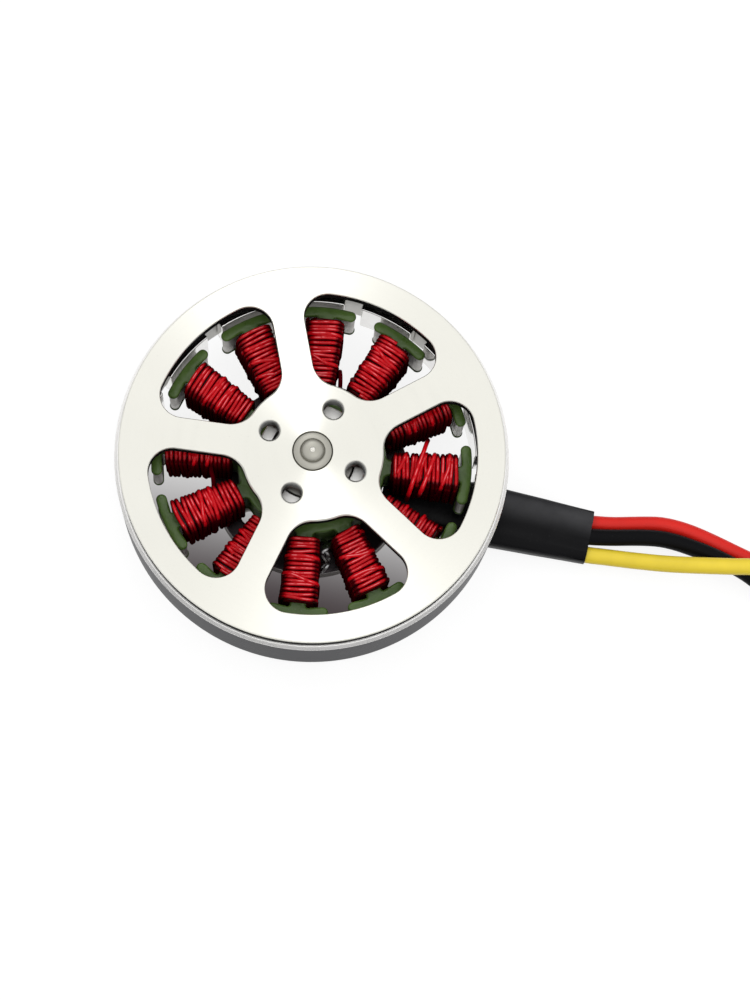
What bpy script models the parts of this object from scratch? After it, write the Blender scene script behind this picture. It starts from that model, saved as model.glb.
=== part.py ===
"""Brushless outrunner motor for a multirotor, 50 mm across, with three short leads.

The bell, its magnets and the shaft turn. The base, the wound stator and the leads stand still.
The origin is on the spin axis, on the face that bolts to the arm. +Z points to the propeller,
and +X is the way in which the cable leaves.
"""

import math

import bmesh
import bpy
import numpy as np
from mathutils import Matrix

MM = 0.001

# Fits and facets
SEAT = 0.15 * MM                # gap between a piece and what it is pressed or glued to
COIL_FIT = 0.2 * MM             # gap between a tooth and its coil
LAY = 0.3 * MM                  # gap between pieces that only lie against each other
BELL_FACETS = 60
BASE_FACETS = 40
BORE_FACETS = 20

# Base
BASE_RADIUS = 13.0 * MM
BASE_THICKNESS = 3.0 * MM
BASE_CHAMFER = 0.4 * MM
MOUNT_CIRCLE = 9.5 * MM         # radius of the circle of mounting holes
MOUNT_HOLE = 1.25 * MM
MOUNT_COUNT = 4
MOUNT_ANGLE = 45.0
TUBE_RADIUS = 7.0 * MM          # outside of the bearing tube
SHOULDER = 0.8 * MM             # ledge round the tube that the stack sits on

# Stator stack
STACK_LIFT = 3.6 * MM           # from the base plate up to the laminations
STACK_HEIGHT = 6.0 * MM
COAT = 0.2 * MM                 # epoxy on the stack's two faces
YOKE_RADIUS = 9.5 * MM
TOOTH_COUNT = 12
TOOTH_ANGLE = 6.7
TOOTH_WIDTH = 2.1 * MM
TIP_WIDTH = 7.8 * MM
TIP_ROOT = 1.4 * MM             # thickness of the tip beside the tooth
TIP_EDGE = 1.4 * MM             # thickness of the tip at its rounded ends
TOOTH_FILLET = 0.5 * MM

# Coils
WIRE = 0.57 * MM
RIDGE_TURNS = 2                 # turns side by side that one ridge stands for
COIL_RISE = 0.5 * MM            # from the yoke out to the first turn
COIL_WIDTH_IN = 4.3 * MM
COIL_WIDTH_OUT = 5.4 * MM
COIL_CORNER = 0.9 * MM
END_TURN_IN = 1.1 * MM          # height of the winding over the stack at the yoke
END_TURN_OUT = 1.6 * MM         # the same at the tip

# Magnets and flux ring
MAGNET_COUNT = 14
MAGNET_ANGLE = 48.9
AIR_GAP = 0.45 * MM
MAGNET_THICKNESS = 1.3 * MM
MAGNET_GAP = 2.3 * MM
MAGNET_OVERLAP = 0.5 * MM       # length of a magnet past each face of the laminations
RING_OVERLAP = 0.5 * MM         # length of the flux ring past the magnets
BELL_RADIUS = 25.0 * MM
RING_WALL = 2.6 * MM
RING_CHAMFER = 0.4 * MM

# Bell cap
CAP_CLEARANCE = 1.35 * MM       # from the end turns up to the spokes
WEB_THICKNESS = 1.6 * MM
HUB_RISE = 0.15 * MM
HUB_RADIUS = 9.0 * MM
HUB_THICKNESS = 2.3 * MM
BOSS_WALL = 1.3 * MM
CAP_LEDGE = 0.6 * MM            # width of the flux ring's rim that shows round the cap
CAP_CHAMFER = 0.2 * MM
SPIGOT_WALL = 1.05 * MM
SPIGOT_DEPTH = 0.9 * MM
WINDOW_COUNT = 5
WINDOW_ANGLE = 4.3
RIM_WIDTH = 3.55 * MM           # from the windows out to the cap's edge
SPOKE_WIDTH = 4.05 * MM
WINDOW_FILLET_IN = 3.4 * MM
WINDOW_FILLET_OUT = 3.05 * MM
PROP_CIRCLE = 6.0 * MM          # radius of the circle of tapped holes
PROP_HOLE = 1.3 * MM
PROP_COUNT = 4
PROP_ANGLE = -13.7

# Shaft, bearings and what holds them
SHAFT_RADIUS = 2.5 * MM
SHAFT_NOSE = 1.5 * MM           # radius of the small boss on the shaft's end
NOSE_HEIGHT = 0.8 * MM
SHAFT_FOOT = 0.4 * MM           # height of the shaft's lower end over the mounting face
BEARING_RADIUS = 5.35 * MM
BEARING_WIDTH = 4.0 * MM
RACE_WALL = 0.9 * MM
BALL_COUNT = 7
BALL_RADIUS = 0.6 * MM
LOWER_BEARING = 2.0 * MM        # height of the lower bearing's lower face
TUBE_RIM = 0.2 * MM             # tube wall standing over the upper bearing
BEARING_LIP = 0.6 * MM          # ledge between the two bearing seats
WASHER_THICKNESS = 0.4 * MM
WASHER_RADIUS = 3.4 * MM
CLIP_THICKNESS = 0.5 * MM
CLIP_RADIUS = 3.5 * MM
CLIP_GROOVE = 0.35 * MM
CLIP_OPENING = 70.0

# Leads and what is on them
LEAD_RADIUS = 1.1 * MM
LEAD_PITCH = 2.25 * MM
LEAD_STEP = 0.65 * MM           # height of the middle lead over the sleeve's middle, at its mouth
SLEEVE_START = 9.6 * MM
SLEEVE_END = 37.5 * MM
SLEEVE_BULGE = 0.9 * MM         # extra width where the joints lie inside
SLEEVE_WALL = 0.2 * MM
SLEEVE_HEIGHT = 2.3 * MM        # height of the sleeve's middle over the mounting face
CUP_RADIUS = 2.0 * MM
CUP_LENGTH = 5.0 * MM
PIN_RADIUS = 1.75 * MM
PIN_LENGTH = 8.5 * MM
SHRINK_WALL = 0.35 * MM
SHRINK_GRIP = 4.5 * MM          # length of a shrink tube on its lead
ROUTE_STEP = 5.0 * MM

# Heights and radii that follow from the sizes above
STACK_BOTTOM = BASE_THICKNESS + STACK_LIFT
STACK_TOP = STACK_BOTTOM + STACK_HEIGHT
STACK_MIDDLE = (STACK_BOTTOM + STACK_TOP) / 2
COIL_TOP = STACK_TOP + COAT + END_TURN_OUT
WEB_BOTTOM = COIL_TOP + CAP_CLEARANCE
WEB_TOP = WEB_BOTTOM + WEB_THICKNESS
HUB_TOP = WEB_TOP + HUB_RISE
HUB_BOTTOM = HUB_TOP - HUB_THICKNESS
MAGNET_BOTTOM = STACK_BOTTOM - MAGNET_OVERLAP
MAGNET_TOP = STACK_TOP + MAGNET_OVERLAP
RING_INNER = BELL_RADIUS - RING_WALL
MAGNET_OUTER = RING_INNER - SEAT
MAGNET_INNER = MAGNET_OUTER - MAGNET_THICKNESS
STATOR_RADIUS = MAGNET_INNER - AIR_GAP
RING_BOTTOM = MAGNET_BOTTOM - RING_OVERLAP
CAP_RADIUS = BELL_RADIUS - CAP_LEDGE
WINDOW_RADIUS = CAP_RADIUS - RIM_WIDTH
COIL_INNER = YOKE_RADIUS + COIL_RISE
COIL_OUTER = math.sqrt((STATOR_RADIUS - TIP_ROOT) ** 2 - (COIL_WIDTH_OUT / 2) ** 2) - SEAT
TUBE_TOP = COIL_TOP
BEARING_SEAT = BEARING_RADIUS + SEAT
UPPER_BEARING = TUBE_TOP - TUBE_RIM - BEARING_WIDTH
WASHER_BOTTOM = UPPER_BEARING + BEARING_WIDTH + SEAT
BOSS_BOTTOM = WASHER_BOTTOM + WASHER_THICKNESS + SEAT
BORE_RADIUS = SHAFT_RADIUS + SEAT
SLEEVE_HALF_HEIGHT = LEAD_RADIUS + LEAD_STEP + SLEEVE_WALL / 2
SLEEVE_HALF_WIDTH = LEAD_PITCH + LEAD_RADIUS + SLEEVE_WALL
SHRINK_RADIUS = CUP_RADIUS + SEAT + SHRINK_WALL

# Middle lines of the leads in plan, in millimetres, with each point's height over the table
# counted in lead diameters. The black lead lies against the red one, and the yellow lead steps
# over the black one.
RED_ROUTE = [
    (37.8, 2.15, 0.23), (40.3, 2.55, 0.16), (42.7, 3.15, 0.07), (44.6, 3.63, 0), (46.6, 4.0, 0),
    (48.6, 4.03, 0), (50.7, 3.82, 0), (52.8, 3.41, 0), (54.9, 2.91, 0), (57.0, 2.37, 0),
    (59.0, 1.89, 0), (61.2, 1.6, 0), (63.6, 1.9, 0), (66.6, 2.9, 0), (70.0, 4.1, 0),
    (74.5, 5.3, 0), (79.5, 6.0, 0), (84.5, 6.1, 0.02), (89.0, 6.0, 0.2), (93.0, 6.0, 0.5),
    (97.0, 6.0, 0.68), (103.0, 6.0, 0.68), (109.0, 6.0, 0.68)]
BLACK_ROUTE = [
    (37.8, 0.05, 0.84), (40.5, 0.56, 0.8), (42.8, 1.1, 0.75), (44.8, 1.54, 0.68),
    (46.8, 1.84, 0.64), (48.8, 1.84, 0.61), (50.8, 1.62, 0.61), (52.9, 1.31, 0.61),
    (55.0, 0.86, 0.61), (57.1, 0.29, 0.61), (59.1, -0.4, 0.57), (61.2, -1.4, 0.43),
    (63.2, -2.8, 0.23), (65.4, -4.2, 0.05), (68.6, -5.6, 0), (73.0, -6.9, 0), (78.5, -7.0, 0),
    (83.5, -6.6, 0.02), (87.5, -6.4, 0.2), (91.5, -6.4, 0.5), (95.5, -6.4, 0.68),
    (101.5, -6.4, 0.68), (107.5, -6.4, 0.68)]
YELLOW_ROUTE = [
    (37.8, -2.3, 0.55), (39.7, -2.12, 0.55), (41.4, -1.99, 0.59), (43.4, -1.85, 0.68),
    (45.3, -1.72, 0.82), (47.2, -1.58, 0.98), (49.2, -1.39, 1.18), (51.0, -1.18, 1.39),
    (52.9, -0.91, 1.55), (54.8, -0.61, 1.66), (56.8, -0.26, 1.71), (58.5, 0.09, 1.72),
    (60.8, 0.4, 1.6), (63.0, 0.5, 1.28), (65.2, 0.3, 0.82), (67.4, 0.1, 0.36),
    (69.8, -0.1, 0.05), (73.0, -0.5, 0), (77.5, -0.7, 0), (82.0, -0.5, 0), (86.5, -0.1, 0.02),
    (90.5, 0.0, 0.2), (94.5, 0.0, 0.5), (98.5, 0.0, 0.68), (104.5, 0.0, 0.68),
    (110.5, 0.0, 0.68)]

MATERIALS = {
    "turned_aluminium": ((0.86, 0.86, 0.84), 0.25, 1.0),
    "plated_steel": ((0.42, 0.43, 0.45), 0.35, 1.0),
    "nickel_magnet": ((0.62, 0.62, 0.62), 0.22, 1.0),
    "green_epoxy": ((0.055, 0.13, 0.045), 0.4, 0.0),
    "red_enamelled_wire": ((0.55, 0.01, 0.015), 0.28, 0.0),
    "ground_steel": ((0.6, 0.6, 0.6), 0.2, 1.0),
    "brass_cage": ((0.6, 0.45, 0.2), 0.35, 1.0),
    "spring_steel": ((0.2, 0.2, 0.22), 0.4, 1.0),
    "black_shrink": ((0.012, 0.012, 0.014), 0.45, 0.0),
    "red_silicone": ((0.6, 0.02, 0.015), 0.5, 0.0),
    "black_silicone": ((0.015, 0.015, 0.016), 0.5, 0.0),
    "yellow_silicone": ((0.75, 0.5, 0.03), 0.5, 0.0),
    "gold_plate": ((0.83, 0.62, 0.25), 0.25, 1.0),
}


def clear_scene():
    """Removes what the scene starts with."""
    for item in list(bpy.data.objects):
        bpy.data.objects.remove(item, do_unlink=True)


def finish(name):
    """The named Principled finish, made the first time that it is asked for."""
    material = bpy.data.materials.get(name)
    if material is None:
        colour, roughness, metallic = MATERIALS[name]
        material = bpy.data.materials.new(name)
        material.use_nodes = True
        shader = material.node_tree.nodes["Principled BSDF"]
        shader.inputs["Base Color"].default_value = (*colour, 1.0)
        shader.inputs["Roughness"].default_value = roughness
        shader.inputs["Metallic"].default_value = metallic
    return material


def add_empty(name):
    """An empty on the spin axis that moving pieces hang on."""
    empty = bpy.data.objects.new(name, None)
    empty.empty_display_size = SHAFT_RADIUS
    bpy.context.collection.objects.link(empty)
    return empty


def add_object(name, data, material, parent=None, lift=0.0, turn=0.0):
    """An object of its own, lifted along the spin axis and turned about it in degrees."""
    item = bpy.data.objects.new(name, data)
    if not data.materials:
        data.materials.append(finish(material))
    item.location.z = lift
    item.rotation_euler.z = math.radians(turn)
    item.parent = parent
    bpy.context.collection.objects.link(item)
    return item


def mesh_from(shape, name, smooth_angle=30.0):
    """A mesh with outward faces from a bmesh, shaded smooth across shallow edges."""
    bmesh.ops.remove_doubles(shape, verts=shape.verts, dist=1e-6 * MM)
    bmesh.ops.recalc_face_normals(shape, faces=shape.faces)
    mesh = bpy.data.meshes.new(name)
    shape.to_mesh(mesh)
    shape.free()
    mesh.shade_smooth()
    mesh.set_sharp_from_angle(angle=math.radians(smooth_angle))
    return mesh


def turned_mesh(name, profile, facets=BELL_FACETS, open_at_axis=False):
    """A profile of (radius, height) points revolved about Z."""
    shape = bmesh.new()
    points = [shape.verts.new((radius, 0, height)) for radius, height in profile]
    pairs = list(zip(points, points[1:]))
    if not open_at_axis:
        pairs.append((points[-1], points[0]))
    lines = [shape.edges.new(pair) for pair in pairs]
    bmesh.ops.spin(shape, geom=points + lines, cent=(0, 0, 0), axis=(0, 0, 1), angle=math.tau,
                   steps=facets, use_merge=True)
    return mesh_from(shape, name)


def ring_profile(inner, outer, bottom, top):
    """The four corners of a plain ring's section."""
    return [(inner, top), (outer, top), (outer, bottom), (inner, bottom)]


def add_prism(shape, outline, bottom, top):
    """Adds to a bmesh a closed outline of (x, y) points extruded from bottom to top."""
    floor = shape.faces.new([shape.verts.new((x, y, bottom)) for x, y in outline])
    walls = bmesh.ops.extrude_face_region(shape, geom=[floor])
    risen = [part for part in walls["geom"] if isinstance(part, bmesh.types.BMVert)]
    bmesh.ops.translate(shape, verts=risen, vec=(0, 0, top - bottom))
    bmesh.ops.recalc_face_normals(shape, faces=shape.faces)


def arc(centre, radius, start, end, steps):
    """Points of an arc from one angle to another, in radians, both ends included."""
    angles = [start + (end - start) * step / steps for step in range(steps + 1)]
    return [(centre[0] + radius * math.cos(a), centre[1] + radius * math.sin(a)) for a in angles]


def mirrored(half):
    """A half outline that starts and ends on the X axis, closed by its mirror image."""
    return half + [(x, -y) for x, y in reversed(half[1:-1])]


def turned_outline(outline, degrees):
    """An outline turned about the origin."""
    cosine, sine = math.cos(math.radians(degrees)), math.sin(math.radians(degrees))
    return [(x * cosine - y * sine, x * sine + y * cosine) for x, y in outline]


def pattern_cutter(name, outline, count, first, bottom, top, parent=None):
    """A hidden tool of equal prisms, patterned about the spin axis."""
    shape = bmesh.new()
    for copy in range(count):
        add_prism(shape, turned_outline(outline, first + 360.0 * copy / count), bottom, top)
    cutter = add_object(name, mesh_from(shape, name), "spring_steel", parent)
    cutter.hide_render = True
    cutter.display_type = "WIRE"
    return cutter


def cut(item, cutter):
    """Takes the cutter's volume out of an object."""
    tool = item.modifiers.new(cutter.name, "BOOLEAN")
    tool.operation = "DIFFERENCE"
    tool.object = cutter


def circle_outline(x, radius, facets=BORE_FACETS):
    """A round hole's outline, centred on the X axis."""
    return arc((x, 0), radius, 0, math.tau * (facets - 1) / facets, facets - 1)


def window_outline():
    """One window of the cap, pointing along +X between two spokes of constant width.

    The inner side follows the hub and the outer side the rim. Each corner is an arc that
    touches a spoke's straight edge and the hub's or the rim's circle.
    """
    half_gap = math.pi / WINDOW_COUNT
    along = (math.cos(half_gap), math.sin(half_gap))
    across = (math.sin(half_gap), -math.cos(half_gap))

    def corner(circle, fillet, side):
        offset = SPOKE_WIDTH / 2 + fillet
        reach = math.sqrt((circle + side * fillet) ** 2 - offset ** 2)
        return tuple(reach * along[axis] + offset * across[axis] for axis in (0, 1))

    outer = corner(WINDOW_RADIUS, WINDOW_FILLET_OUT, -1)
    inner = corner(HUB_RADIUS, WINDOW_FILLET_IN, 1)
    outer_angle = math.atan2(outer[1], outer[0])
    inner_angle = math.atan2(inner[1], inner[0])
    spoke_side = math.atan2(-across[1], -across[0])
    half = arc((0, 0), WINDOW_RADIUS, 0, outer_angle, 4)
    half += arc(outer, WINDOW_FILLET_OUT, outer_angle, spoke_side, 5)[1:]
    half += arc(inner, WINDOW_FILLET_IN, spoke_side, inner_angle + math.pi, 4)
    half += arc((0, 0), HUB_RADIUS, inner_angle, 0, 2)[1:]
    return mirrored(half)


def build_bell_cap(bell):
    """The turned cap: hub, spokes and rim in one piece, with windows and tapped holes."""
    step = HUB_RISE
    profile = [
        (BORE_RADIUS, HUB_TOP),
        (HUB_RADIUS, HUB_TOP),
        (HUB_RADIUS + step, WEB_TOP),
        (CAP_RADIUS - CAP_CHAMFER, WEB_TOP),
        (CAP_RADIUS, WEB_TOP - CAP_CHAMFER),
        (CAP_RADIUS, WEB_BOTTOM),
        (RING_INNER - SEAT, WEB_BOTTOM),
        (RING_INNER - SEAT, WEB_BOTTOM - SPIGOT_DEPTH),
        (RING_INNER - SEAT - SPIGOT_WALL, WEB_BOTTOM - SPIGOT_DEPTH),
        (RING_INNER - SEAT - SPIGOT_WALL, WEB_BOTTOM),
        (HUB_RADIUS, WEB_BOTTOM),
        (HUB_RADIUS - (WEB_BOTTOM - HUB_BOTTOM), HUB_BOTTOM),
        (BORE_RADIUS + BOSS_WALL, HUB_BOTTOM),
        (BORE_RADIUS + BOSS_WALL, BOSS_BOTTOM),
        (BORE_RADIUS, BOSS_BOTTOM),
    ]
    cap = add_object("bell_cap", turned_mesh("bell_cap", profile), "turned_aluminium", bell)
    low, high = BOSS_BOTTOM - HUB_THICKNESS, HUB_TOP + HUB_THICKNESS
    cut(cap, pattern_cutter("window_cutter", window_outline(), WINDOW_COUNT, WINDOW_ANGLE,
                            low, high, bell))
    hole = circle_outline(PROP_CIRCLE, PROP_HOLE, 12)
    cut(cap, pattern_cutter("prop_hole_cutter", hole, PROP_COUNT, PROP_ANGLE, low, high, bell))


def build_flux_ring(bell):
    """The steel ring that closes the field behind the magnets and carries the cap."""
    top = WEB_BOTTOM - SEAT
    profile = [
        (RING_INNER, top),
        (BELL_RADIUS - RING_CHAMFER, top),
        (BELL_RADIUS, top - RING_CHAMFER),
        (BELL_RADIUS, RING_BOTTOM + RING_CHAMFER / 2),
        (BELL_RADIUS - RING_CHAMFER / 2, RING_BOTTOM),
        (RING_INNER, RING_BOTTOM),
    ]
    add_object("flux_ring", turned_mesh("flux_ring", profile), "plated_steel", bell)


def build_magnets(bell):
    """Arc magnets glued round the inside of the flux ring."""
    half_angle = math.pi / MAGNET_COUNT - MAGNET_GAP / (MAGNET_INNER + MAGNET_OUTER)
    outline = arc((0, 0), MAGNET_OUTER, -half_angle, half_angle, 4)
    outline += arc((0, 0), MAGNET_INNER, half_angle, -half_angle, 4)
    shape = bmesh.new()
    add_prism(shape, outline, MAGNET_BOTTOM, MAGNET_TOP)
    mesh = mesh_from(shape, "magnet")
    for number in range(MAGNET_COUNT):
        turn = MAGNET_ANGLE + 360.0 * number / MAGNET_COUNT
        add_object(f"magnet_{number + 1:02d}", mesh, "nickel_magnet", bell, turn=turn)


def build_shaft(bell):
    """The shaft, pressed into the hub, with a clip groove at its foot and a boss on its end."""
    groove_top = LOWER_BEARING - SEAT
    groove_bottom = groove_top - CLIP_THICKNESS - 2 * SEAT
    edge = 0.2 * MM
    profile = [
        (0, HUB_TOP + NOSE_HEIGHT),
        (SHAFT_NOSE - edge, HUB_TOP + NOSE_HEIGHT),
        (SHAFT_NOSE, HUB_TOP + NOSE_HEIGHT - edge),
        (SHAFT_NOSE, HUB_TOP + edge),
        (SHAFT_RADIUS - edge, HUB_TOP + edge),
        (SHAFT_RADIUS, HUB_TOP),
        (SHAFT_RADIUS, groove_top),
        (SHAFT_RADIUS - CLIP_GROOVE, groove_top),
        (SHAFT_RADIUS - CLIP_GROOVE, groove_bottom),
        (SHAFT_RADIUS, groove_bottom),
        (SHAFT_RADIUS, SHAFT_FOOT + edge),
        (SHAFT_RADIUS - edge, SHAFT_FOOT),
        (0, SHAFT_FOOT),
    ]
    mesh = turned_mesh("shaft", profile, BORE_FACETS, open_at_axis=True)
    add_object("shaft", mesh, "ground_steel", bell)


def build_shaft_trim(bell):
    """The thrust washer under the hub and the open clip in the shaft's groove."""
    washer = ring_profile(BORE_RADIUS, WASHER_RADIUS, WASHER_BOTTOM,
                          WASHER_BOTTOM + WASHER_THICKNESS)
    add_object("thrust_washer", turned_mesh("thrust_washer", washer, BORE_FACETS),
               "ground_steel", bell)
    inner = SHAFT_RADIUS - CLIP_GROOVE + SEAT
    start = math.radians(CLIP_OPENING / 2)
    outline = arc((0, 0), CLIP_RADIUS, start, math.tau - start, 18)
    outline += arc((0, 0), inner, math.tau - start, start, 18)
    top = LOWER_BEARING - 2 * SEAT
    shape = bmesh.new()
    add_prism(shape, outline, top - CLIP_THICKNESS, top)
    add_object("retaining_clip", mesh_from(shape, "retaining_clip"), "spring_steel", bell)


def race_profile(inner, outer, groove_at, depth):
    """A race's section with a shallow ball groove in the wall at groove_at."""
    half = BEARING_WIDTH / 2
    lips = [(groove_at, BALL_RADIUS), (groove_at + depth, BALL_RADIUS / 2),
            (groove_at + depth, -BALL_RADIUS / 2), (groove_at, -BALL_RADIUS)]
    if groove_at == outer:
        return [(inner, half), (outer, half)] + lips + [(outer, -half), (inner, -half)]
    return [(outer, half), (outer, -half), (inner, -half)] + lips[::-1] + [(inner, half)]


def ball_set_mesh(pitch):
    """Balls joined to the cage that spaces them, as one turning piece."""
    cage_wall = 0.2 * MM
    cage = turned_mesh("ball_cage", ring_profile(pitch - cage_wall, pitch + cage_wall,
                                                 -BALL_RADIUS / 2, BALL_RADIUS / 2), 21)
    shape = bmesh.new()
    for number in range(BALL_COUNT):
        place = Matrix.Rotation(math.tau * number / BALL_COUNT, 4, "Z")
        place @= Matrix.Translation((pitch, 0, 0))
        bmesh.ops.create_uvsphere(shape, u_segments=8, v_segments=5, radius=BALL_RADIUS,
                                  matrix=place)
    return cage, mesh_from(shape, "balls")


def build_bearings(bell, stator):
    """Two ball bearings: inner races turn with the shaft, outer races stay in the tube."""
    pitch = (BORE_RADIUS + BEARING_RADIUS) / 2
    depth = 0.25 * MM
    inner = turned_mesh("inner_race", race_profile(BORE_RADIUS, BORE_RADIUS + RACE_WALL,
                                                   BORE_RADIUS + RACE_WALL, -depth), BORE_FACETS)
    outer = turned_mesh("outer_race", race_profile(BEARING_RADIUS - RACE_WALL, BEARING_RADIUS,
                                                   BEARING_RADIUS - RACE_WALL, depth),
                        BORE_FACETS)
    cage, balls = ball_set_mesh(pitch)
    for place, bottom in (("lower", LOWER_BEARING), ("upper", UPPER_BEARING)):
        middle = bottom + BEARING_WIDTH / 2
        add_object(f"{place}_inner_race", inner, "ground_steel", bell, lift=middle)
        add_object(f"{place}_outer_race", outer, "ground_steel", stator, lift=middle)
        axis = add_empty(f"{place}_ball_axis")
        axis.location.z = middle
        ball_set = add_object(f"{place}_ball_set", cage, "brass_cage", axis)
        guide = add_object(f"{place}_balls_guide", balls, "ground_steel", axis)
        guide.hide_render = True
        guide.display_type = "WIRE"
        join = ball_set.modifiers.new("balls", "BOOLEAN")
        join.operation = "UNION"
        join.object = guide


def build_base(stator):
    """The base plate with its bearing tube, turned in one piece and then drilled."""
    shoulder_top = STACK_BOTTOM - COAT - SEAT
    lower_seat_top = LOWER_BEARING + BEARING_WIDTH + SEAT
    upper_seat_bottom = UPPER_BEARING - SEAT
    profile = [
        (BEARING_SEAT, TUBE_TOP),
        (TUBE_RADIUS, TUBE_TOP),
        (TUBE_RADIUS, shoulder_top),
        (TUBE_RADIUS + SHOULDER, shoulder_top),
        (TUBE_RADIUS + SHOULDER, BASE_THICKNESS),
        (BASE_RADIUS - BASE_CHAMFER, BASE_THICKNESS),
        (BASE_RADIUS, BASE_THICKNESS - BASE_CHAMFER),
        (BASE_RADIUS, BASE_CHAMFER),
        (BASE_RADIUS - BASE_CHAMFER, 0),
        (BEARING_SEAT, 0),
        (BEARING_SEAT, lower_seat_top),
        (BEARING_SEAT - BEARING_LIP, lower_seat_top),
        (BEARING_SEAT - BEARING_LIP, upper_seat_bottom),
        (BEARING_SEAT, upper_seat_bottom),
    ]
    base = add_object("base_mount", turned_mesh("base_mount", profile, BASE_FACETS),
                      "turned_aluminium", stator)
    low, high = -BASE_THICKNESS, (BASE_THICKNESS + shoulder_top) / 2
    hole = circle_outline(MOUNT_CIRCLE, MOUNT_HOLE, 12)
    cut(base, pattern_cutter("mount_hole_cutter", hole, MOUNT_COUNT, MOUNT_ANGLE, low, high,
                             stator))
    half = SLEEVE_HALF_WIDTH + SLEEVE_BULGE / 2 + LAY
    notch = [(SLEEVE_START - LAY, -half), (2 * BASE_RADIUS, -half), (2 * BASE_RADIUS, half),
             (SLEEVE_START - LAY, half)]
    cut(base, pattern_cutter("cable_notch_cutter", notch, 1, 0.0, low, high, stator))


def tooth_outline():
    """One tooth of the stator with half a valley on each side, pointing along +X."""
    half_pitch = math.pi / TOOTH_COUNT
    half_tooth = TOOTH_WIDTH / 2
    reach = math.sqrt((YOKE_RADIUS + TOOTH_FILLET) ** 2 - (half_tooth + TOOTH_FILLET) ** 2)
    root = (reach, half_tooth + TOOTH_FILLET)
    root_angle = math.atan2(root[1], root[0])
    end_radius = TIP_EDGE / 2
    end_circle = STATOR_RADIUS - end_radius
    end_angle = math.asin((TIP_WIDTH / 2 - end_radius) / end_circle)
    end = (end_circle * math.cos(end_angle), end_circle * math.sin(end_angle))
    inside = STATOR_RADIUS - TIP_ROOT
    half = arc((0, 0), STATOR_RADIUS, 0, end_angle, 3)
    half += arc(end, end_radius, end_angle, end_angle + math.pi, 3)[1:]
    half += arc((inside - TOOTH_FILLET / 2, half_tooth + TOOTH_FILLET / 2), TOOTH_FILLET / 2,
                0, -math.pi / 2, 2)
    half += arc(root, TOOTH_FILLET, -math.pi / 2, root_angle - math.pi, 2)
    half += arc((0, 0), YOKE_RADIUS, root_angle, half_pitch, 1)[1:]
    return [(x, -y) for x, y in reversed(half[1:])] + half[:-1]


def build_stator_core(stator):
    """The lamination stack in its epoxy coat: yoke ring, teeth and tips in one piece."""
    outline = []
    for tooth in range(TOOTH_COUNT):
        outline += turned_outline(tooth_outline(), TOOTH_ANGLE + 360.0 * tooth / TOOTH_COUNT)
    shape = bmesh.new()
    add_prism(shape, outline, STACK_BOTTOM - COAT, STACK_TOP + COAT)
    core = add_object("stator_core", mesh_from(shape, "stator_core"), "green_epoxy", stator)
    bore = circle_outline(0, TUBE_RADIUS + SEAT, BASE_FACETS)
    cut(core, pattern_cutter("core_bore_cutter", bore, 1, 0.0, 0, HUB_TOP, stator))


def box_loop(half_width, half_height, corner):
    """Eight points of an upright rectangle with cut corners, as (y, z)."""
    wide, high = half_width, half_height
    return [(wide, high - corner), (wide - corner, high), (corner - wide, high),
            (-wide, high - corner), (-wide, corner - high), (corner - wide, -high),
            (wide - corner, -high), (wide, corner - high)]


def coil_mesh():
    """One winding along +X: a ridge for each turn, swelling from the yoke to the tip."""
    ridges = int((COIL_OUTER - COIL_INNER) / (RIDGE_TURNS * WIRE))
    pitch = (COIL_OUTER - COIL_INNER) / ridges
    tooth_half_height = STACK_HEIGHT / 2 + COAT
    shape = bmesh.new()

    def add_loop(x, half_width, half_height, corner=COIL_CORNER):
        loop = box_loop(half_width, half_height, corner)
        return [shape.verts.new((x, y, STACK_MIDDLE + z)) for y, z in loop]

    def bridge(first, second):
        for index in range(len(first)):
            after = (index + 1) % len(first)
            shape.faces.new((first[index], first[after], second[after], second[index]))

    loops = []
    for station in range(2 * ridges + 1):
        share = station / (2 * ridges)
        dip = 0.0 if station % 2 else WIRE / 2
        half_width = (COIL_WIDTH_IN + share * (COIL_WIDTH_OUT - COIL_WIDTH_IN)) / 2 - dip
        half_height = tooth_half_height + END_TURN_IN - dip
        half_height += share * (END_TURN_OUT - END_TURN_IN)
        loops.append(add_loop(COIL_INNER + station * pitch / 2, half_width, half_height))
    for first, second in zip(loops, loops[1:]):
        bridge(first, second)
    hole = (TOOTH_WIDTH / 2 + COIL_FIT, tooth_half_height + COIL_FIT, COIL_FIT)
    near, far = add_loop(COIL_INNER, *hole), add_loop(COIL_OUTER, *hole)
    bridge(near, loops[0])
    bridge(loops[-1], far)
    bridge(far, near)
    return mesh_from(shape, "coil", 60.0)


def build_coils(stator):
    """A winding on each tooth."""
    mesh = coil_mesh()
    for number in range(TOOTH_COUNT):
        turn = TOOTH_ANGLE + 360.0 * number / TOOTH_COUNT
        add_object(f"coil_{number + 1:02d}", mesh, "red_enamelled_wire", stator, turn=turn)


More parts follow.
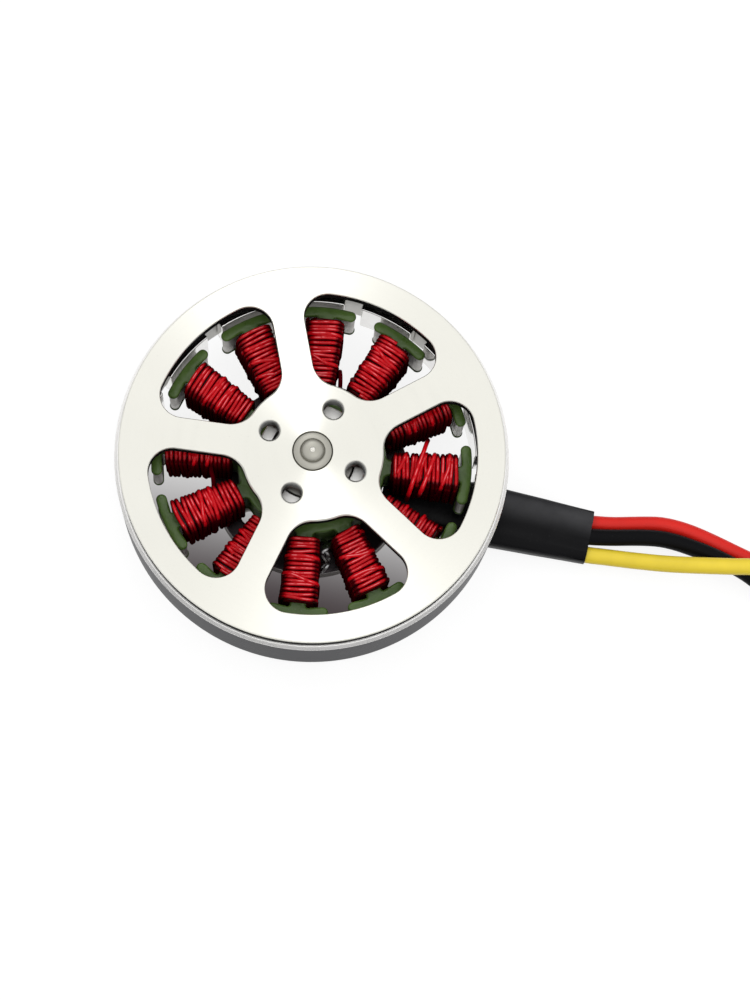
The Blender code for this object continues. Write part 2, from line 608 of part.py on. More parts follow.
def build_lead_sleeve(stator):
    """The shrink sleeve over the joints: a flat oval loft, widest under the bell's edge."""
    sides = 20
    stations = [(0.0, 0.35), (0.1, 0.6), (0.35, 0.95), (0.55, 1.0), (0.75, 0.6), (0.9, 0.2),
                (1.0, 0.0)]
    shape = bmesh.new()
    loops = []
    for share, swell in stations:
        half_width = SLEEVE_HALF_WIDTH + swell * SLEEVE_BULGE / 2
        half_height = SLEEVE_HALF_HEIGHT + swell * SLEEVE_WALL
        loop = []
        for side in range(sides):
            angle = math.tau * side / sides
            flat = [math.copysign(abs(value) ** 0.6, value)
                    for value in (math.cos(angle), math.sin(angle))]
            loop.append(shape.verts.new((SLEEVE_START + share * (SLEEVE_END - SLEEVE_START),
                                         half_width * flat[0],
                                         SLEEVE_HEIGHT + half_height * flat[1])))
        loops.append(loop)
    for first, second in zip(loops, loops[1:]):
        for side in range(sides):
            after = (side + 1) % sides
            shape.faces.new((first[side], first[after], second[after], second[side]))
    shape.faces.new(loops[0])
    shape.faces.new(loops[-1])
    add_object("lead_sleeve", mesh_from(shape, "lead_sleeve"), "black_shrink", stator)


def smooth_line(route, step):
    """Even points on a smooth curve through a route, by Catmull-Rom spans."""
    heights = [LEAD_RADIUS * (1 + 2 * level) for _, _, level in route]
    points = np.array([(x * MM, y * MM, z) for (x, y, _), z in zip(route, heights)])
    padded = np.vstack([2 * points[0] - points[1], points, 2 * points[-1] - points[-2]])
    share = np.linspace(0, 1, 12, endpoint=False)[:, None]
    spans = []
    for first in range(len(points) - 1):
        a, b, c, d = padded[first:first + 4]
        spans.append(0.5 * (2 * b + (c - a) * share + (2 * a - 5 * b + 4 * c - d) * share ** 2
                            + (3 * b - a - 3 * c + d) * share ** 3))
    line = np.vstack(spans + [points[-1:]])
    travel = np.concatenate([[0], np.cumsum(np.linalg.norm(np.diff(line, axis=0), axis=1))])
    even = np.linspace(0, travel[-1], int(round(travel[-1] / step)) + 1)
    line = np.column_stack([np.interp(even, travel, line[:, axis]) for axis in range(3)])
    line[:, 2] = np.maximum(line[:, 2], LEAD_RADIUS)
    return line


def build_lead(name, material, route, stator):
    """One silicone lead as a round cord with closed ends; gives its last point."""
    line = smooth_line(route, ROUTE_STEP)
    curve = bpy.data.curves.new(name, "CURVE")
    curve.dimensions = "3D"
    curve.bevel_depth = LEAD_RADIUS
    curve.bevel_resolution = 2
    curve.use_fill_caps = True
    spline = curve.splines.new("POLY")
    spline.points.add(len(line) - 1)
    for point, place in zip(spline.points, line):
        point.co = (*place, 1.0)
    add_object(name, curve, material, stator)
    return line[-1]


def build_bullet(colour, end, stator):
    """A bullet plug on a lead's end, lying along +X, and the shrink tube over the joint."""
    nose = 0.7 * MM
    waist = 0.3 * MM
    pin_start = CUP_LENGTH + waist
    pin = [
        (0, 0), (CUP_RADIUS, 0), (CUP_RADIUS, CUP_LENGTH), (PIN_RADIUS - waist, CUP_LENGTH),
        (PIN_RADIUS - waist, pin_start), (PIN_RADIUS - waist / 2, pin_start + nose),
        (PIN_RADIUS, pin_start + PIN_LENGTH / 2),
        (PIN_RADIUS - waist / 2, pin_start + PIN_LENGTH - 2 * nose),
        (PIN_RADIUS - nose, pin_start + PIN_LENGTH), (0, pin_start + PIN_LENGTH)]
    over_lead = LEAD_RADIUS + SEAT
    over_cup = CUP_RADIUS + SEAT
    step = over_cup - over_lead
    tube = [
        (over_lead, -SHRINK_GRIP), (over_lead + SHRINK_WALL, -SHRINK_GRIP),
        (over_lead + SHRINK_WALL, -LAY - step), (SHRINK_RADIUS, -LAY),
        (SHRINK_RADIUS, CUP_LENGTH - LAY), (over_cup, CUP_LENGTH - LAY), (over_cup, -LAY),
        (over_lead, -LAY - step)]
    for name, profile, material, is_solid in (
            (f"bullet_{colour}", pin, "gold_plate", True),
            (f"shrink_{colour}", tube, "black_shrink", False)):
        mesh = turned_mesh(name, profile, 12, open_at_axis=is_solid)
        mesh.transform(Matrix.Rotation(math.pi / 2, 4, "Y"))
        item = add_object(name, mesh, material, stator)
        item.location = (end[0] + LAY, end[1], end[2])


def build_leads(stator):
    """The three leads, each with its plug."""
    for colour, route in (("red", RED_ROUTE), ("black", BLACK_ROUTE), ("yellow", YELLOW_ROUTE)):
        end = build_lead(f"lead_{colour}", f"{colour}_silicone", route, stator)
        build_bullet(colour, end, stator)


def main():
    clear_scene()
    bell = add_empty("bell_axis")
    stator = add_empty("stator_frame")
    build_bell_cap(bell)
    build_flux_ring(bell)
    build_magnets(bell)
    build_shaft(bell)
    build_shaft_trim(bell)
    build_bearings(bell, stator)
    build_base(stator)
    build_stator_core(stator)
    build_coils(stator)
    build_lead_sleeve(stator)
    build_leads(stator)


main()
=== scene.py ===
"""Dresses the brushless drone motor: fine forms, procedural finishes, stage and camera."""

import math

import bmesh
import bpy
import numpy as np
from bpy.props import FloatProperty, FloatVectorProperty, IntProperty, PointerProperty
from mathutils import Matrix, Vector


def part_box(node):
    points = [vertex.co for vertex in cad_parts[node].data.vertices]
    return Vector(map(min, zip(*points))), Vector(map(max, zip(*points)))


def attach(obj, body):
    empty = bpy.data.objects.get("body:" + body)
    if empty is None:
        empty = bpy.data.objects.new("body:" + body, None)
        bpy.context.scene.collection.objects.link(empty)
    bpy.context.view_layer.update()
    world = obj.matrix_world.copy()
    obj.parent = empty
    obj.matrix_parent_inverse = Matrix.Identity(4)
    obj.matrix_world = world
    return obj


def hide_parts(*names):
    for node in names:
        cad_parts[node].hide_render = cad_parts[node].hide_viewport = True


bl_info = {
    "name": "Brushless Drone Motor",
    "version": (1, 0, 0),
    "blender": (4, 5, 0),
    "location": "3D View > Sidebar > Motor",
    "description": "Dresses a packed outrunner motor with its fine forms and finishes",
    "category": "Add Mesh",
}

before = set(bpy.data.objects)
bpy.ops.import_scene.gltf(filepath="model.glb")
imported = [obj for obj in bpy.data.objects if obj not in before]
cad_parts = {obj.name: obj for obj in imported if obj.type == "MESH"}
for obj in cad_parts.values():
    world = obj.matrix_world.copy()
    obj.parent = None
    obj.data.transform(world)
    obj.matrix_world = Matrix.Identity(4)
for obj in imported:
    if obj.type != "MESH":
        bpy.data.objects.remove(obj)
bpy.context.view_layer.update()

MM = 0.001


def low(node, axis):
    """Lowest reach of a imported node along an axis, in metres."""
    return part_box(node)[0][axis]


def high(node, axis):
    """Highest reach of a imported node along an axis, in metres."""
    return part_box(node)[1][axis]


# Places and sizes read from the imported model
BELL_RADIUS = high("flux_ring", 0)
RING_BOTTOM, RING_TOP = low("flux_ring", 2), high("flux_ring", 2)
CAP_RADIUS = high("bell_cap", 0)
CAP_TOP = high("bell_cap", 2)
BOSS_BOTTOM = low("bell_cap", 2)
MAGNET_BOTTOM, MAGNET_TOP = low("magnet_01", 2), high("magnet_01", 2)
SHAFT_FOOT, SHAFT_TOP = low("shaft", 2), high("shaft", 2)
SHAFT_RADIUS = high("shaft", 0)
BASE_RADIUS = high("base_mount", 1)
TUBE_TOP = high("base_mount", 2)
STACK_BOTTOM, STACK_TOP = low("stator_core", 2), high("stator_core", 2)
STACK_MIDDLE = (STACK_TOP + STACK_BOTTOM) / 2
COIL_TOP = high("coil_01", 2)
BEARING_RADIUS = high("upper_outer_race", 0)
UPPER_BEARING, LOWER_BEARING = low("upper_outer_race", 2), low("lower_outer_race", 2)
BEARING_WIDTH = high("upper_outer_race", 2) - UPPER_BEARING
SLEEVE_START, SLEEVE_END = low("lead_sleeve", 0), high("lead_sleeve", 0)
SLEEVE_HALF_WIDTH = high("lead_sleeve", 1)
SLEEVE_LOW, SLEEVE_HIGH = low("lead_sleeve", 2), high("lead_sleeve", 2)

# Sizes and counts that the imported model's boxes don't tell
HUB_RISE, FIT_SLACK = 0.15 * MM, 0.15 * MM
WEB_TOP = CAP_TOP - HUB_RISE
WEB_BOTTOM = RING_TOP + FIT_SLACK
RING_INNER = 22.4 * MM
MAGNET_INNER, MAGNET_OUTER = 20.95 * MM, 22.25 * MM
MAGNET_GAP = 2.3 * MM
MAGNET_ANGLE = 48.9
MAGNET_COUNT = 14
SPIGOT_INNER, SPIGOT_OUTER = 21.2 * MM, 22.25 * MM
SPIGOT_DEPTH = 0.9 * MM
HUB_RADIUS, HUB_THICKNESS = 9.0 * MM, 2.3 * MM
BOSS_RADIUS = 3.95 * MM
BORE_RADIUS = SHAFT_RADIUS + FIT_SLACK
CAP_BORE = SHAFT_RADIUS + 0.06 * MM
WINDOW_COUNT, WINDOW_ANGLE, WINDOW_RADIUS = 5, 4.3, 20.85 * MM
SPOKE_WIDTH = 4.05 * MM
WINDOW_FILLET_IN, WINDOW_FILLET_OUT = 3.4 * MM, 3.05 * MM
PROP_CIRCLE, PROP_HOLE, PROP_ANGLE = 6.0 * MM, 1.3 * MM, -13.7
MOUNT_CIRCLE, MOUNT_HOLE, MOUNT_ANGLE = 9.5 * MM, 1.25 * MM, 45
HOLE_COUNT, THREAD_CREST, BALL_COUNT, LEAF_COUNT = 4, 0.1 * MM, 7, 10
TOOTH_COUNT, TOOTH_ANGLE = 12, 6.7
STATOR_RADIUS, STATOR_BORE, YOKE_RADIUS = 20.5 * MM, 7.15 * MM, 9.5 * MM
TOOTH_WIDTH, TIP_WIDTH, TIP_ROOT, TIP_EDGE = 2.1 * MM, 7.8 * MM, 1.4 * MM, 1.4 * MM
COIL_INNER, COIL_OUTER = 10.0 * MM, 18.76 * MM
COIL_WIDTH_IN, COIL_WIDTH_OUT = 4.3 * MM, 5.4 * MM
END_TURN_IN, WIRE_SINK = 1.1 * MM, 0.12 * MM
LEAD_RADIUS, LEAD_PITCH = 1.1 * MM, 2.25 * MM
CUP_LENGTH, CUP_RADIUS, PIN_RADIUS, PIN_LENGTH = 5.0 * MM, 2.0 * MM, 1.75 * MM, 8.5 * MM

# Middle lines of the leads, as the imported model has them: x and y in millimetres, and the
# height over the table in lead diameters. The first point is hidden in the sleeve's mouth.
LEAD_ROUTES = {
    "red": [
        (35.8, 1.95, 0.3), (37.8, 2.15, 0.23), (40.3, 2.55, 0.16), (42.7, 3.15, 0.07),
        (44.6, 3.63, 0), (46.6, 4.0, 0), (48.6, 4.03, 0), (50.7, 3.82, 0), (52.8, 3.41, 0),
        (54.9, 2.91, 0), (57.0, 2.37, 0), (59.0, 1.89, 0), (61.2, 1.6, 0), (63.6, 1.9, 0),
        (66.6, 2.9, 0), (70.0, 4.1, 0), (74.5, 5.3, 0), (79.5, 6.0, 0), (84.5, 6.1, 0.02)],
    "black": [
        (35.8, -0.2, 0.8), (37.8, 0.05, 0.84), (40.5, 0.56, 0.8), (42.8, 1.1, 0.75),
        (44.8, 1.54, 0.68), (46.8, 1.84, 0.64), (48.8, 1.84, 0.61), (50.8, 1.62, 0.61),
        (52.9, 1.31, 0.61), (55.0, 0.86, 0.61), (57.1, 0.29, 0.61), (59.1, -0.4, 0.57),
        (61.2, -1.4, 0.43), (63.2, -2.8, 0.23), (65.4, -4.2, 0.05), (68.6, -5.6, 0),
        (73.0, -6.9, 0), (78.5, -7.0, 0), (83.5, -6.6, 0.02)],
    "yellow": [
        (35.8, -2.35, 0.55), (37.8, -2.3, 0.55), (39.7, -2.12, 0.55), (41.4, -1.99, 0.59),
        (43.4, -1.85, 0.68), (45.3, -1.72, 0.82), (47.2, -1.58, 0.98), (49.2, -1.39, 1.18),
        (51.0, -1.18, 1.39), (52.9, -0.91, 1.55), (54.8, -0.61, 1.66), (56.8, -0.26, 1.71),
        (58.5, 0.09, 1.72), (60.8, 0.4, 1.6), (63.0, 0.5, 1.28), (65.2, 0.3, 0.82),
        (67.4, 0.1, 0.36), (69.8, -0.1, 0.05), (73.0, -0.5, 0), (77.5, -0.7, 0),
        (82.0, -0.5, 0), (86.5, -0.1, 0.02)],
}
# The straight run into each plug: x and y of its end, and steps of x from there with heights
LEAD_ENDS = {"red": (109.0, 6.0), "black": (107.5, -6.4), "yellow": (110.5, 0.0)}
PLUG_RUN = ((-20, 0.2), (-16, 0.5), (-12, 0.68), (-6, 0.68), (0, 0.68))

# Wires that stray from a winding: the winding's number, then x, y and z in millimetres
STRAY_WIRES = (
    (1, ((14.0, 6.0, 11.6), (13.9, 5.3, 13.0), (13.75, 4.0, 13.9), (13.53, 2.3, 14.38),
         (13.3, 0.6, 14.4), (13.1, -0.9, 14.2), (12.97, -1.9, 13.2), (12.85, -2.3, 11.6))),
    (1, ((14.3, -1.6, 12.6), (14.5, -1.0, 14.2), (14.75, 0.4, 14.45), (15.0, 2.0, 14.45),
         (15.15, 3.4, 14.3), (15.2, 4.0, 13.0))),
    (7, ((-12.5, -3.2, 12.2), (-12.2, -4.2, 12.6), (-11.8, -5.0, 12.5), (-11.5, -6.0, 12.0))),
    (4, ((1.0, 12.6, 11.6), (1.2, 11.9, 12.0), (1.35, 11.2, 12.0), (1.5, 10.4, 11.6))),
)
JOINT_WIRES = (
    ((3.5, -8.9, 7.2), (4.5, -9.8, 9.0), (3.7, -10.8, 9.0), (4.6, -11.8, 8.0), (4.2, -12.6, 6.4)),
    ((4.7, -8.9, 7.0), (3.8, -10.1, 8.8), (4.7, -11.0, 8.6), (3.9, -12.2, 7.4)))

# Camera, as the photograph was taken
CAMERA_AZIMUTH, CAMERA_TILT, CAMERA_ROLL = 91.1, 77.04, 10.97
CAMERA_AIM = (0.0, 0.0, 17.5 * MM)
CAMERA_DISTANCE = 297.6 * MM
CAMERA_SHIFT = (7.84 * MM, -6.17 * MM)
IMAGE_HEIGHT_PIXELS, FOCAL_PIXELS = 1000, 2367


def length_property(name, description, default, least=0.0):
    """A length property in metres."""
    return FloatProperty(name=name, description=description, default=default, min=least,
                         unit="LENGTH", precision=5)


class MotorSizes(bpy.types.PropertyGroup):
    """Sizes of the fine forms."""

    facets: IntProperty(
        name="Facets", description="Segments round each turned piece", default=240, min=48)
    chamfer: length_property(
        "Window Chamfer", "Broken edge round the cap's windows", 0.07 * MM)
    thread_pitch: length_property(
        "Thread Pitch", "Pitch of the tapped holes", 0.5 * MM, 0.1 * MM)
    wire: length_property(
        "Wire", "Diameter of the enamelled wire over its coat", 0.57 * MM, 0.1 * MM)
    turns: IntProperty(
        name="Turns", description="Turns of the winding's full outer layer", default=15, min=3)
    loose_turns: FloatProperty(
        name="Loose Turns", description="Slanting turns that cross the outer layer",
        default=2.3, min=0.0)
    unevenness: FloatProperty(
        name="Unevenness", description="How far a turn strays from its place, in wires",
        default=0.18, min=0.0, max=1.0)
    coat_wrap: length_property(
        "Coat Wrap", "How far the epoxy comes down the stack's sides", 0.6 * MM)


def colour_property(name, description, default):
    """A colour property."""
    return FloatVectorProperty(name=name, description=description, default=default,
                               subtype="COLOR", min=0.0, max=1.0)


class MotorColours(bpy.types.PropertyGroup):
    """Colours of the finishes."""

    aluminium: colour_property("Aluminium", "Turned cap", (0.95, 0.94, 0.865))
    steel: colour_property("Steel", "Flux ring", (0.21, 0.21, 0.22))
    epoxy: colour_property("Epoxy", "Coat on the lamination stack", (0.115, 0.208, 0.042))
    enamel: colour_property("Enamel", "Coat on the winding wire", (0.84, 0.005, 0.013))
    red: colour_property("Red Lead", "Red silicone", (0.88, 0.018, 0.01))
    yellow: colour_property("Yellow Lead", "Yellow silicone", (1.0, 0.76, 0.045))
    black: colour_property("Black", "Black silicone and shrink sleeve",
                           (0.004, 0.004, 0.005))


# Meshes from arrays. A surface here is (points, quads, polygons).


def grid_quads(rows, columns, wrap_rows=False, wrap_columns=False):
    """Quads of a grid of points, row by row, joined round where a direction wraps."""
    index = np.arange(rows * columns).reshape(rows, columns)
    if wrap_rows:
        index = np.vstack([index, index[:1]])
    if wrap_columns:
        index = np.hstack([index, index[:, :1]])
    corners = [index[:-1, :-1], index[1:, :-1], index[1:, 1:], index[:-1, 1:]]
    return np.stack(corners, axis=-1).reshape(-1, 4)


def grid_surface(points, wrap_rows=False, wrap_columns=False, lids=False):
    """A surface over an array of points [row, column, xyz]; lids close its end rows."""
    rows, columns = points.shape[:2]
    polygons = []
    if lids:
        polygons = [np.arange(columns)[::-1], np.arange(columns) + (rows - 1) * columns]
    return points.reshape(-1, 3), grid_quads(rows, columns, wrap_rows, wrap_columns), polygons


def capped(points):
    """A closed surface over rows of rings, with a lid on each end."""
    return grid_surface(points, wrap_columns=True, lids=True)


def joined(surfaces):
    """Several surfaces as one."""
    points, quads, polygons, start = [], [], [], 0
    for part_points, part_quads, part_polygons in surfaces:
        points.append(part_points)
        quads.append(part_quads + start)
        polygons += [polygon + start for polygon in part_polygons]
        start += len(part_points)
    return np.vstack(points), np.vstack(quads), polygons


def placed(surface, turn=0.0, shift=(0.0, 0.0, 0.0)):
    """A surface turned about Z by degrees and then shifted."""
    points, quads, polygons = surface
    angle = math.radians(turn)
    spin = np.array([[math.cos(angle), math.sin(angle), 0],
                     [-math.sin(angle), math.cos(angle), 0], [0, 0, 1]])
    return points @ spin + np.array(shift), quads, polygons


def repeated(surface, count, start=0.0):
    """Copies of a surface at even turns about Z, from an angle in degrees."""
    return [placed(surface, start + 360 * k / count) for k in range(count)]


def along_x(surface, shift):
    """A surface of revolution about Z laid along +X, and shifted."""
    points, quads, polygons = surface
    return np.column_stack([points[:, 2], points[:, 1], -points[:, 0]]) + shift, quads, polygons


def mesh_of(name, surface, sharp=32.0):
    """A mesh from a surface, with outward faces and smooth shading up to a sharp angle."""
    points, quads, polygons = surface
    loops = np.concatenate([quads.ravel()] + [np.asarray(p) for p in polygons])
    totals = np.array([4] * len(quads) + [len(p) for p in polygons])
    mesh = bpy.data.meshes.new(name)
    mesh.vertices.add(len(points))
    mesh.vertices.foreach_set("co", points.astype(np.float32).ravel())
    mesh.loops.add(len(loops))
    mesh.loops.foreach_set("vertex_index", loops.astype(np.int32))
    mesh.polygons.add(len(totals))
    mesh.polygons.foreach_set("loop_start", np.concatenate([[0], np.cumsum(totals)[:-1]])
                              .astype(np.int32))
    mesh.polygons.foreach_set("loop_total", totals.astype(np.int32))
    mesh.update(calc_edges=True)
    shape = bmesh.new()
    shape.from_mesh(mesh)
    bmesh.ops.recalc_face_normals(shape, faces=shape.faces)
    shape.to_mesh(mesh)
    shape.free()
    mesh.shade_smooth()
    mesh.set_sharp_from_angle(angle=math.radians(sharp))
    return mesh


def add_object(name, data):
    """An object in the scene."""
    item = bpy.data.objects.new(name, data)
    bpy.context.scene.collection.objects.link(item)
    return item


def add_piece(name, surface, look, body, node=None, sharp=32.0):
    """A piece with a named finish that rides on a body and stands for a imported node."""
    mesh = mesh_of(name, surface, sharp)
    mesh.materials.append(finish(look))
    piece = add_object(name, mesh)
    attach(piece, body)
    if node:
        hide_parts(node)
    return piece


def dress(node, surface, look, body):
    """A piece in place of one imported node, and named after it."""
    return add_piece(f"{node}_finished", surface, look, body, node)


def cut_piece(piece, cutters, sharp=32.0):
    """Takes surfaces out of a piece by an exact Boolean, and settles its mesh."""
    name = f"{piece.name}_cutter"
    tool = add_object(name, mesh_of(name, joined(cutters)))
    change = piece.modifiers.new("cut", "BOOLEAN")
    change.operation = "DIFFERENCE"
    change.solver = "EXACT"
    change.object = tool
    settled = piece.evaluated_get(bpy.context.evaluated_depsgraph_get())
    mesh = bpy.data.meshes.new_from_object(settled)
    piece.modifiers.clear()
    piece.data = mesh
    bpy.data.objects.remove(tool, do_unlink=True)
    if len(mesh.polygons) < 12:
        raise RuntimeError(f"cutting {piece.name} left nothing of it")
    mesh.shade_smooth()
    mesh.set_sharp_from_angle(angle=math.radians(sharp))


# Profiles and outlines


def rounded(corners, radii, steps=4):
    """A closed polyline with each corner replaced by an arc.

    The arc touches both sides of the corner at radius divided by the tangent of half the
    corner's angle, and its centre lies on the corner's bisector. A point just off each end of
    the arc keeps the sides' shading flat.
    """
    corner = np.array(corners, float)
    radius = np.broadcast_to(np.array(radii, float), len(corner)).copy()
    back = np.roll(corner, 1, axis=0) - corner
    ahead = np.roll(corner, -1, axis=0) - corner
    back_length = np.linalg.norm(back, axis=1)
    ahead_length = np.linalg.norm(ahead, axis=1)
    back /= back_length[:, None]
    ahead /= ahead_length[:, None]
    half = np.arccos(np.clip(np.sum(back * ahead, axis=1), -0.99999, 0.99999)) / 2
    reach = np.minimum(radius / np.tan(half), 0.45 * np.minimum(back_length, ahead_length))
    radius = reach * np.tan(half)
    bisector = back + ahead
    bisector /= np.linalg.norm(bisector, axis=1)[:, None]
    centre = corner + bisector * (radius / np.sin(half))[:, None]
    start = corner + back * reach[:, None] - centre
    end = corner + ahead * reach[:, None] - centre
    share = np.linspace(0, 1, steps + 1)[None, :, None]
    sweep = (math.pi / 2 - half)[:, None, None] * 2
    bend = np.maximum(np.sin(sweep), 1e-9)
    arc = (np.sin((1 - share) * sweep) * start[:, None] + np.sin(share * sweep) * end[:, None])
    off = 1.08 * reach[:, None, None]
    return np.hstack([corner[:, None] + back[:, None] * off, centre[:, None] + arc / bend,
                      corner[:, None] + ahead[:, None] * off]).reshape(-1, 2)


def band(left, right, bottom, top, radius, steps=4):
    """A rectangle's outline with rounded corners."""
    return rounded([(left, bottom), (right, bottom), (right, top), (left, top)], radius, steps)


def polar(radius, angle, height):
    """Points (r cos a, r sin a, z) from arrays that broadcast together."""
    return np.stack(np.broadcast_arrays(radius * np.cos(angle), radius * np.sin(angle), height),
                    axis=-1)


def turned(profile, facets, solid=False):
    """A (radius, height) profile revolved about Z: a loop, or open and closed with lids."""
    angle = np.linspace(0, math.tau, facets, endpoint=False)
    radius, height = np.array(profile, float).T[:, :, None]
    return grid_surface(polar(radius, angle, height), wrap_rows=not solid, wrap_columns=True,
                        lids=solid)


def arc_points(centre, radius, start, end, steps):
    """Points of an arc between two angles in radians, ends included."""
    angle = np.linspace(start, end, steps + 1)
    return np.column_stack([centre[0] + radius * np.cos(angle),
                            centre[1] + radius * np.sin(angle)])


def offset_outline(outline, distance):
    """A closed outline moved outwards along its normals; it runs anticlockwise."""
    along = np.roll(outline, -1, axis=0) - np.roll(outline, 1, axis=0)
    along /= np.linalg.norm(along, axis=1)[:, None]
    return outline + distance * np.column_stack([along[:, 1], -along[:, 0]])


def carried(outline, profile, lids=True):
    """A profile of (outward offset, height) carried round a closed outline."""
    rows = [np.column_stack([offset_outline(outline, offset), np.full(len(outline), height)])
            for offset, height in profile]
    return grid_surface(np.array(rows), wrap_columns=True, lids=lids)


def window_outline():
    """One window of the cap about +X, between spokes of constant width.

    Each corner is an arc that touches a spoke's straight side and the hub's or rim's circle.
    The half that starts and ends on the X axis is closed by its mirror image.
    """
    half_gap = math.pi / WINDOW_COUNT
    along = np.array([math.cos(half_gap), math.sin(half_gap)])
    across = np.array([math.sin(half_gap), -math.cos(half_gap)])

    def corner(circle, fillet, side):
        offset = SPOKE_WIDTH / 2 + fillet
        return math.sqrt((circle + side * fillet) ** 2 - offset ** 2) * along + offset * across

    outer = corner(WINDOW_RADIUS, WINDOW_FILLET_OUT, -1)
    inner = corner(HUB_RADIUS, WINDOW_FILLET_IN, 1)
    outer_angle = math.atan2(outer[1], outer[0])
    inner_angle = math.atan2(inner[1], inner[0])
    spoke_side = math.atan2(-across[1], -across[0])
    half = np.vstack([
        arc_points((0, 0), WINDOW_RADIUS, 0, outer_angle, 20),
        arc_points(outer, WINDOW_FILLET_OUT, outer_angle, spoke_side, 20)[1:],
        arc_points(inner, WINDOW_FILLET_IN, spoke_side, inner_angle + math.pi, 20),
        arc_points((0, 0), HUB_RADIUS, inner_angle, 0, 6)[1:]])
    return np.vstack([half, half[-2:0:-1] * [1, -1]])


def through_cutter(outline, bottom, top, chamfer):
    """A cutter for an opening whose edge is broken at both faces."""
    run = 2 * MM
    profile = [(chamfer + run, bottom - run), (chamfer, bottom), (0, bottom + chamfer),
               (0, top - chamfer), (chamfer, top), (chamfer + run, top + run)]
    return carried(outline, profile)


def tapped_holes(circle, angle, radius, bottom, top, chamfer):
    """Cutters for tapped holes evenly on a circle, from an angle in degrees.

    Each is a stack of rings in and out by the thread's depth, flared at both ends.
    """
    pitch = bpy.context.scene.motor_sizes.thread_pitch
    run, thread = 1 * MM, 0.27 * pitch
    turns = np.arange(bottom + chamfer, top - chamfer, pitch / 2)
    depth = np.where(np.arange(len(turns)) % 2, thread, 0.0)
    flare = thread + chamfer
    profile = [(flare + run, bottom - run), (flare, bottom), *zip(depth, turns), (flare, top),
               (flare + run, top + run)]
    hole = carried(arc_points((0, 0), radius, 0, math.tau * 47 / 48, 47), profile)
    places = np.radians(angle + 360 / HOLE_COUNT * np.arange(HOLE_COUNT))
    return [placed(hole, shift=(circle * math.cos(place), circle * math.sin(place), 0))
            for place in places]


def tube(path, up, radius, sides=8):
    """A round section carried along a path, with closed ends.

    At each point the section stands in the plane of two unit vectors: side, the tangent's
    cross product with up, and lift, side's cross product with the tangent.
    """
    tangent = np.gradient(path, axis=0)
    tangent /= np.linalg.norm(tangent, axis=1)[:, None]
    side = np.cross(tangent, up)
    side /= np.linalg.norm(side, axis=1)[:, None]
    lift = np.cross(side, tangent)
    angle = np.linspace(0, math.tau, sides, endpoint=False)
    ring = side[:, None] * np.cos(angle)[:, None] + lift[:, None] * np.sin(angle)[:, None]
    reach = np.broadcast_to(radius, len(path))[:, None, None]
    return capped(path[:, None] + reach * ring)


def smooth_line(points, spacing):
    """Even points on Catmull-Rom spans through a route: cubic in the share of each span."""
    points = np.array(points, float)
    ends = np.vstack([2 * points[0] - points[1], points, 2 * points[-1] - points[-2]])
    a, b, c, d = ends[:-3, None], ends[1:-2, None], ends[2:-1, None], ends[3:, None]
    share = np.linspace(0, 1, 16, endpoint=False)[None, :, None]
    spans = 0.5 * (2 * b + (c - a) * share + (2 * a - 5 * b + 4 * c - d) * share ** 2
                   + (3 * b - a - 3 * c + d) * share ** 3)
    line = np.vstack([spans.reshape(-1, points.shape[1]), points[-1:]])
    travel = np.concatenate([[0], np.cumsum(np.linalg.norm(np.diff(line, axis=0), axis=1))])
    even = np.linspace(0, travel[-1], int(round(travel[-1] / spacing)) + 1)
    return np.column_stack([np.interp(even, travel, line[:, k]) for k in range(line.shape[1])])


def wires(routes, radius, spacing):
    """Tubes along smooth lines through routes in millimetres."""
    return [tube(smooth_line(np.array(route) * MM, spacing), (0, 0, 1), radius)
            for route in routes]


# Finishes


def add_node(tree, kind, inputs=None, **settings):
    """A shader node of a kind, with settings and with values or links for its inputs."""
    node = tree.nodes.new(f"ShaderNode{kind}")
    for key, value in settings.items():
        setattr(node, key, value)
    for key, value in (inputs or {}).items():
        if isinstance(value, bpy.types.NodeSocket):
            tree.links.new(value, node.inputs[key])
        else:
            node.inputs[key].default_value = value
    return node


def math_node(tree, operation, first, second=0.0):
    """The output of a Math node."""
    return add_node(tree, "Math", {0: first, 1: second}, operation=operation).outputs[0]


def product(tree, first, second):
    """Two shader values multiplied."""
    return math_node(tree, "MULTIPLY", first, second)


def spread(tree, value, low_end, high_end):
    """A 0 to 1 value spread between two ends."""
    return math_node(tree, "ADD", product(tree, value, high_end - low_end), low_end)


def smooth_step(tree, value, low_end, high_end):
    """0 below one value and 1 over another, with a smooth rise between them."""
    limits = {"Value": value, "From Min": low_end, "From Max": high_end}
    return add_node(tree, "MapRange", limits, interpolation_type="SMOOTHSTEP").outputs[0]


def tinted(tree, factor, first, second):
    """A mix of two colours by a factor."""
    mix = add_node(tree, "Mix", {0: factor}, data_type="RGBA")
    for socket, value in ((mix.inputs[6], first), (mix.inputs[7], second)):
        if isinstance(value, bpy.types.NodeSocket):
            tree.links.new(value, socket)
        else:
            socket.default_value = (*value, 1.0)
    return mix.outputs[2]


def shaded(colour, share):
    """A colour with its channels scaled."""
    return tuple(channel * share for channel in colour)


def coordinate(tree, axis):
    """The place along one axis, in metres."""
    place = add_node(tree, "TexCoord").outputs["Object"]
    return add_node(tree, "SeparateXYZ", {0: place}).outputs[axis]


def axis_distance(tree, scale=1.0):
    """The distance from the spin axis, in metres times a scale."""
    place = add_node(tree, "TexCoord").outputs["Object"]
    flat = add_node(tree, "VectorMath", {0: place, 1: (scale, scale, 0.0)},
                    operation="MULTIPLY").outputs[0]
    return add_node(tree, "VectorMath", {0: flat}, operation="LENGTH").outputs[1]


def noise(tree, scale, detail):
    """Noise of the place, from 0 to 1."""
    place = add_node(tree, "TexCoord").outputs["Object"]
    values = {"Vector": place, "Scale": scale, "Detail": detail}
    return add_node(tree, "TexNoise", values).outputs[0]


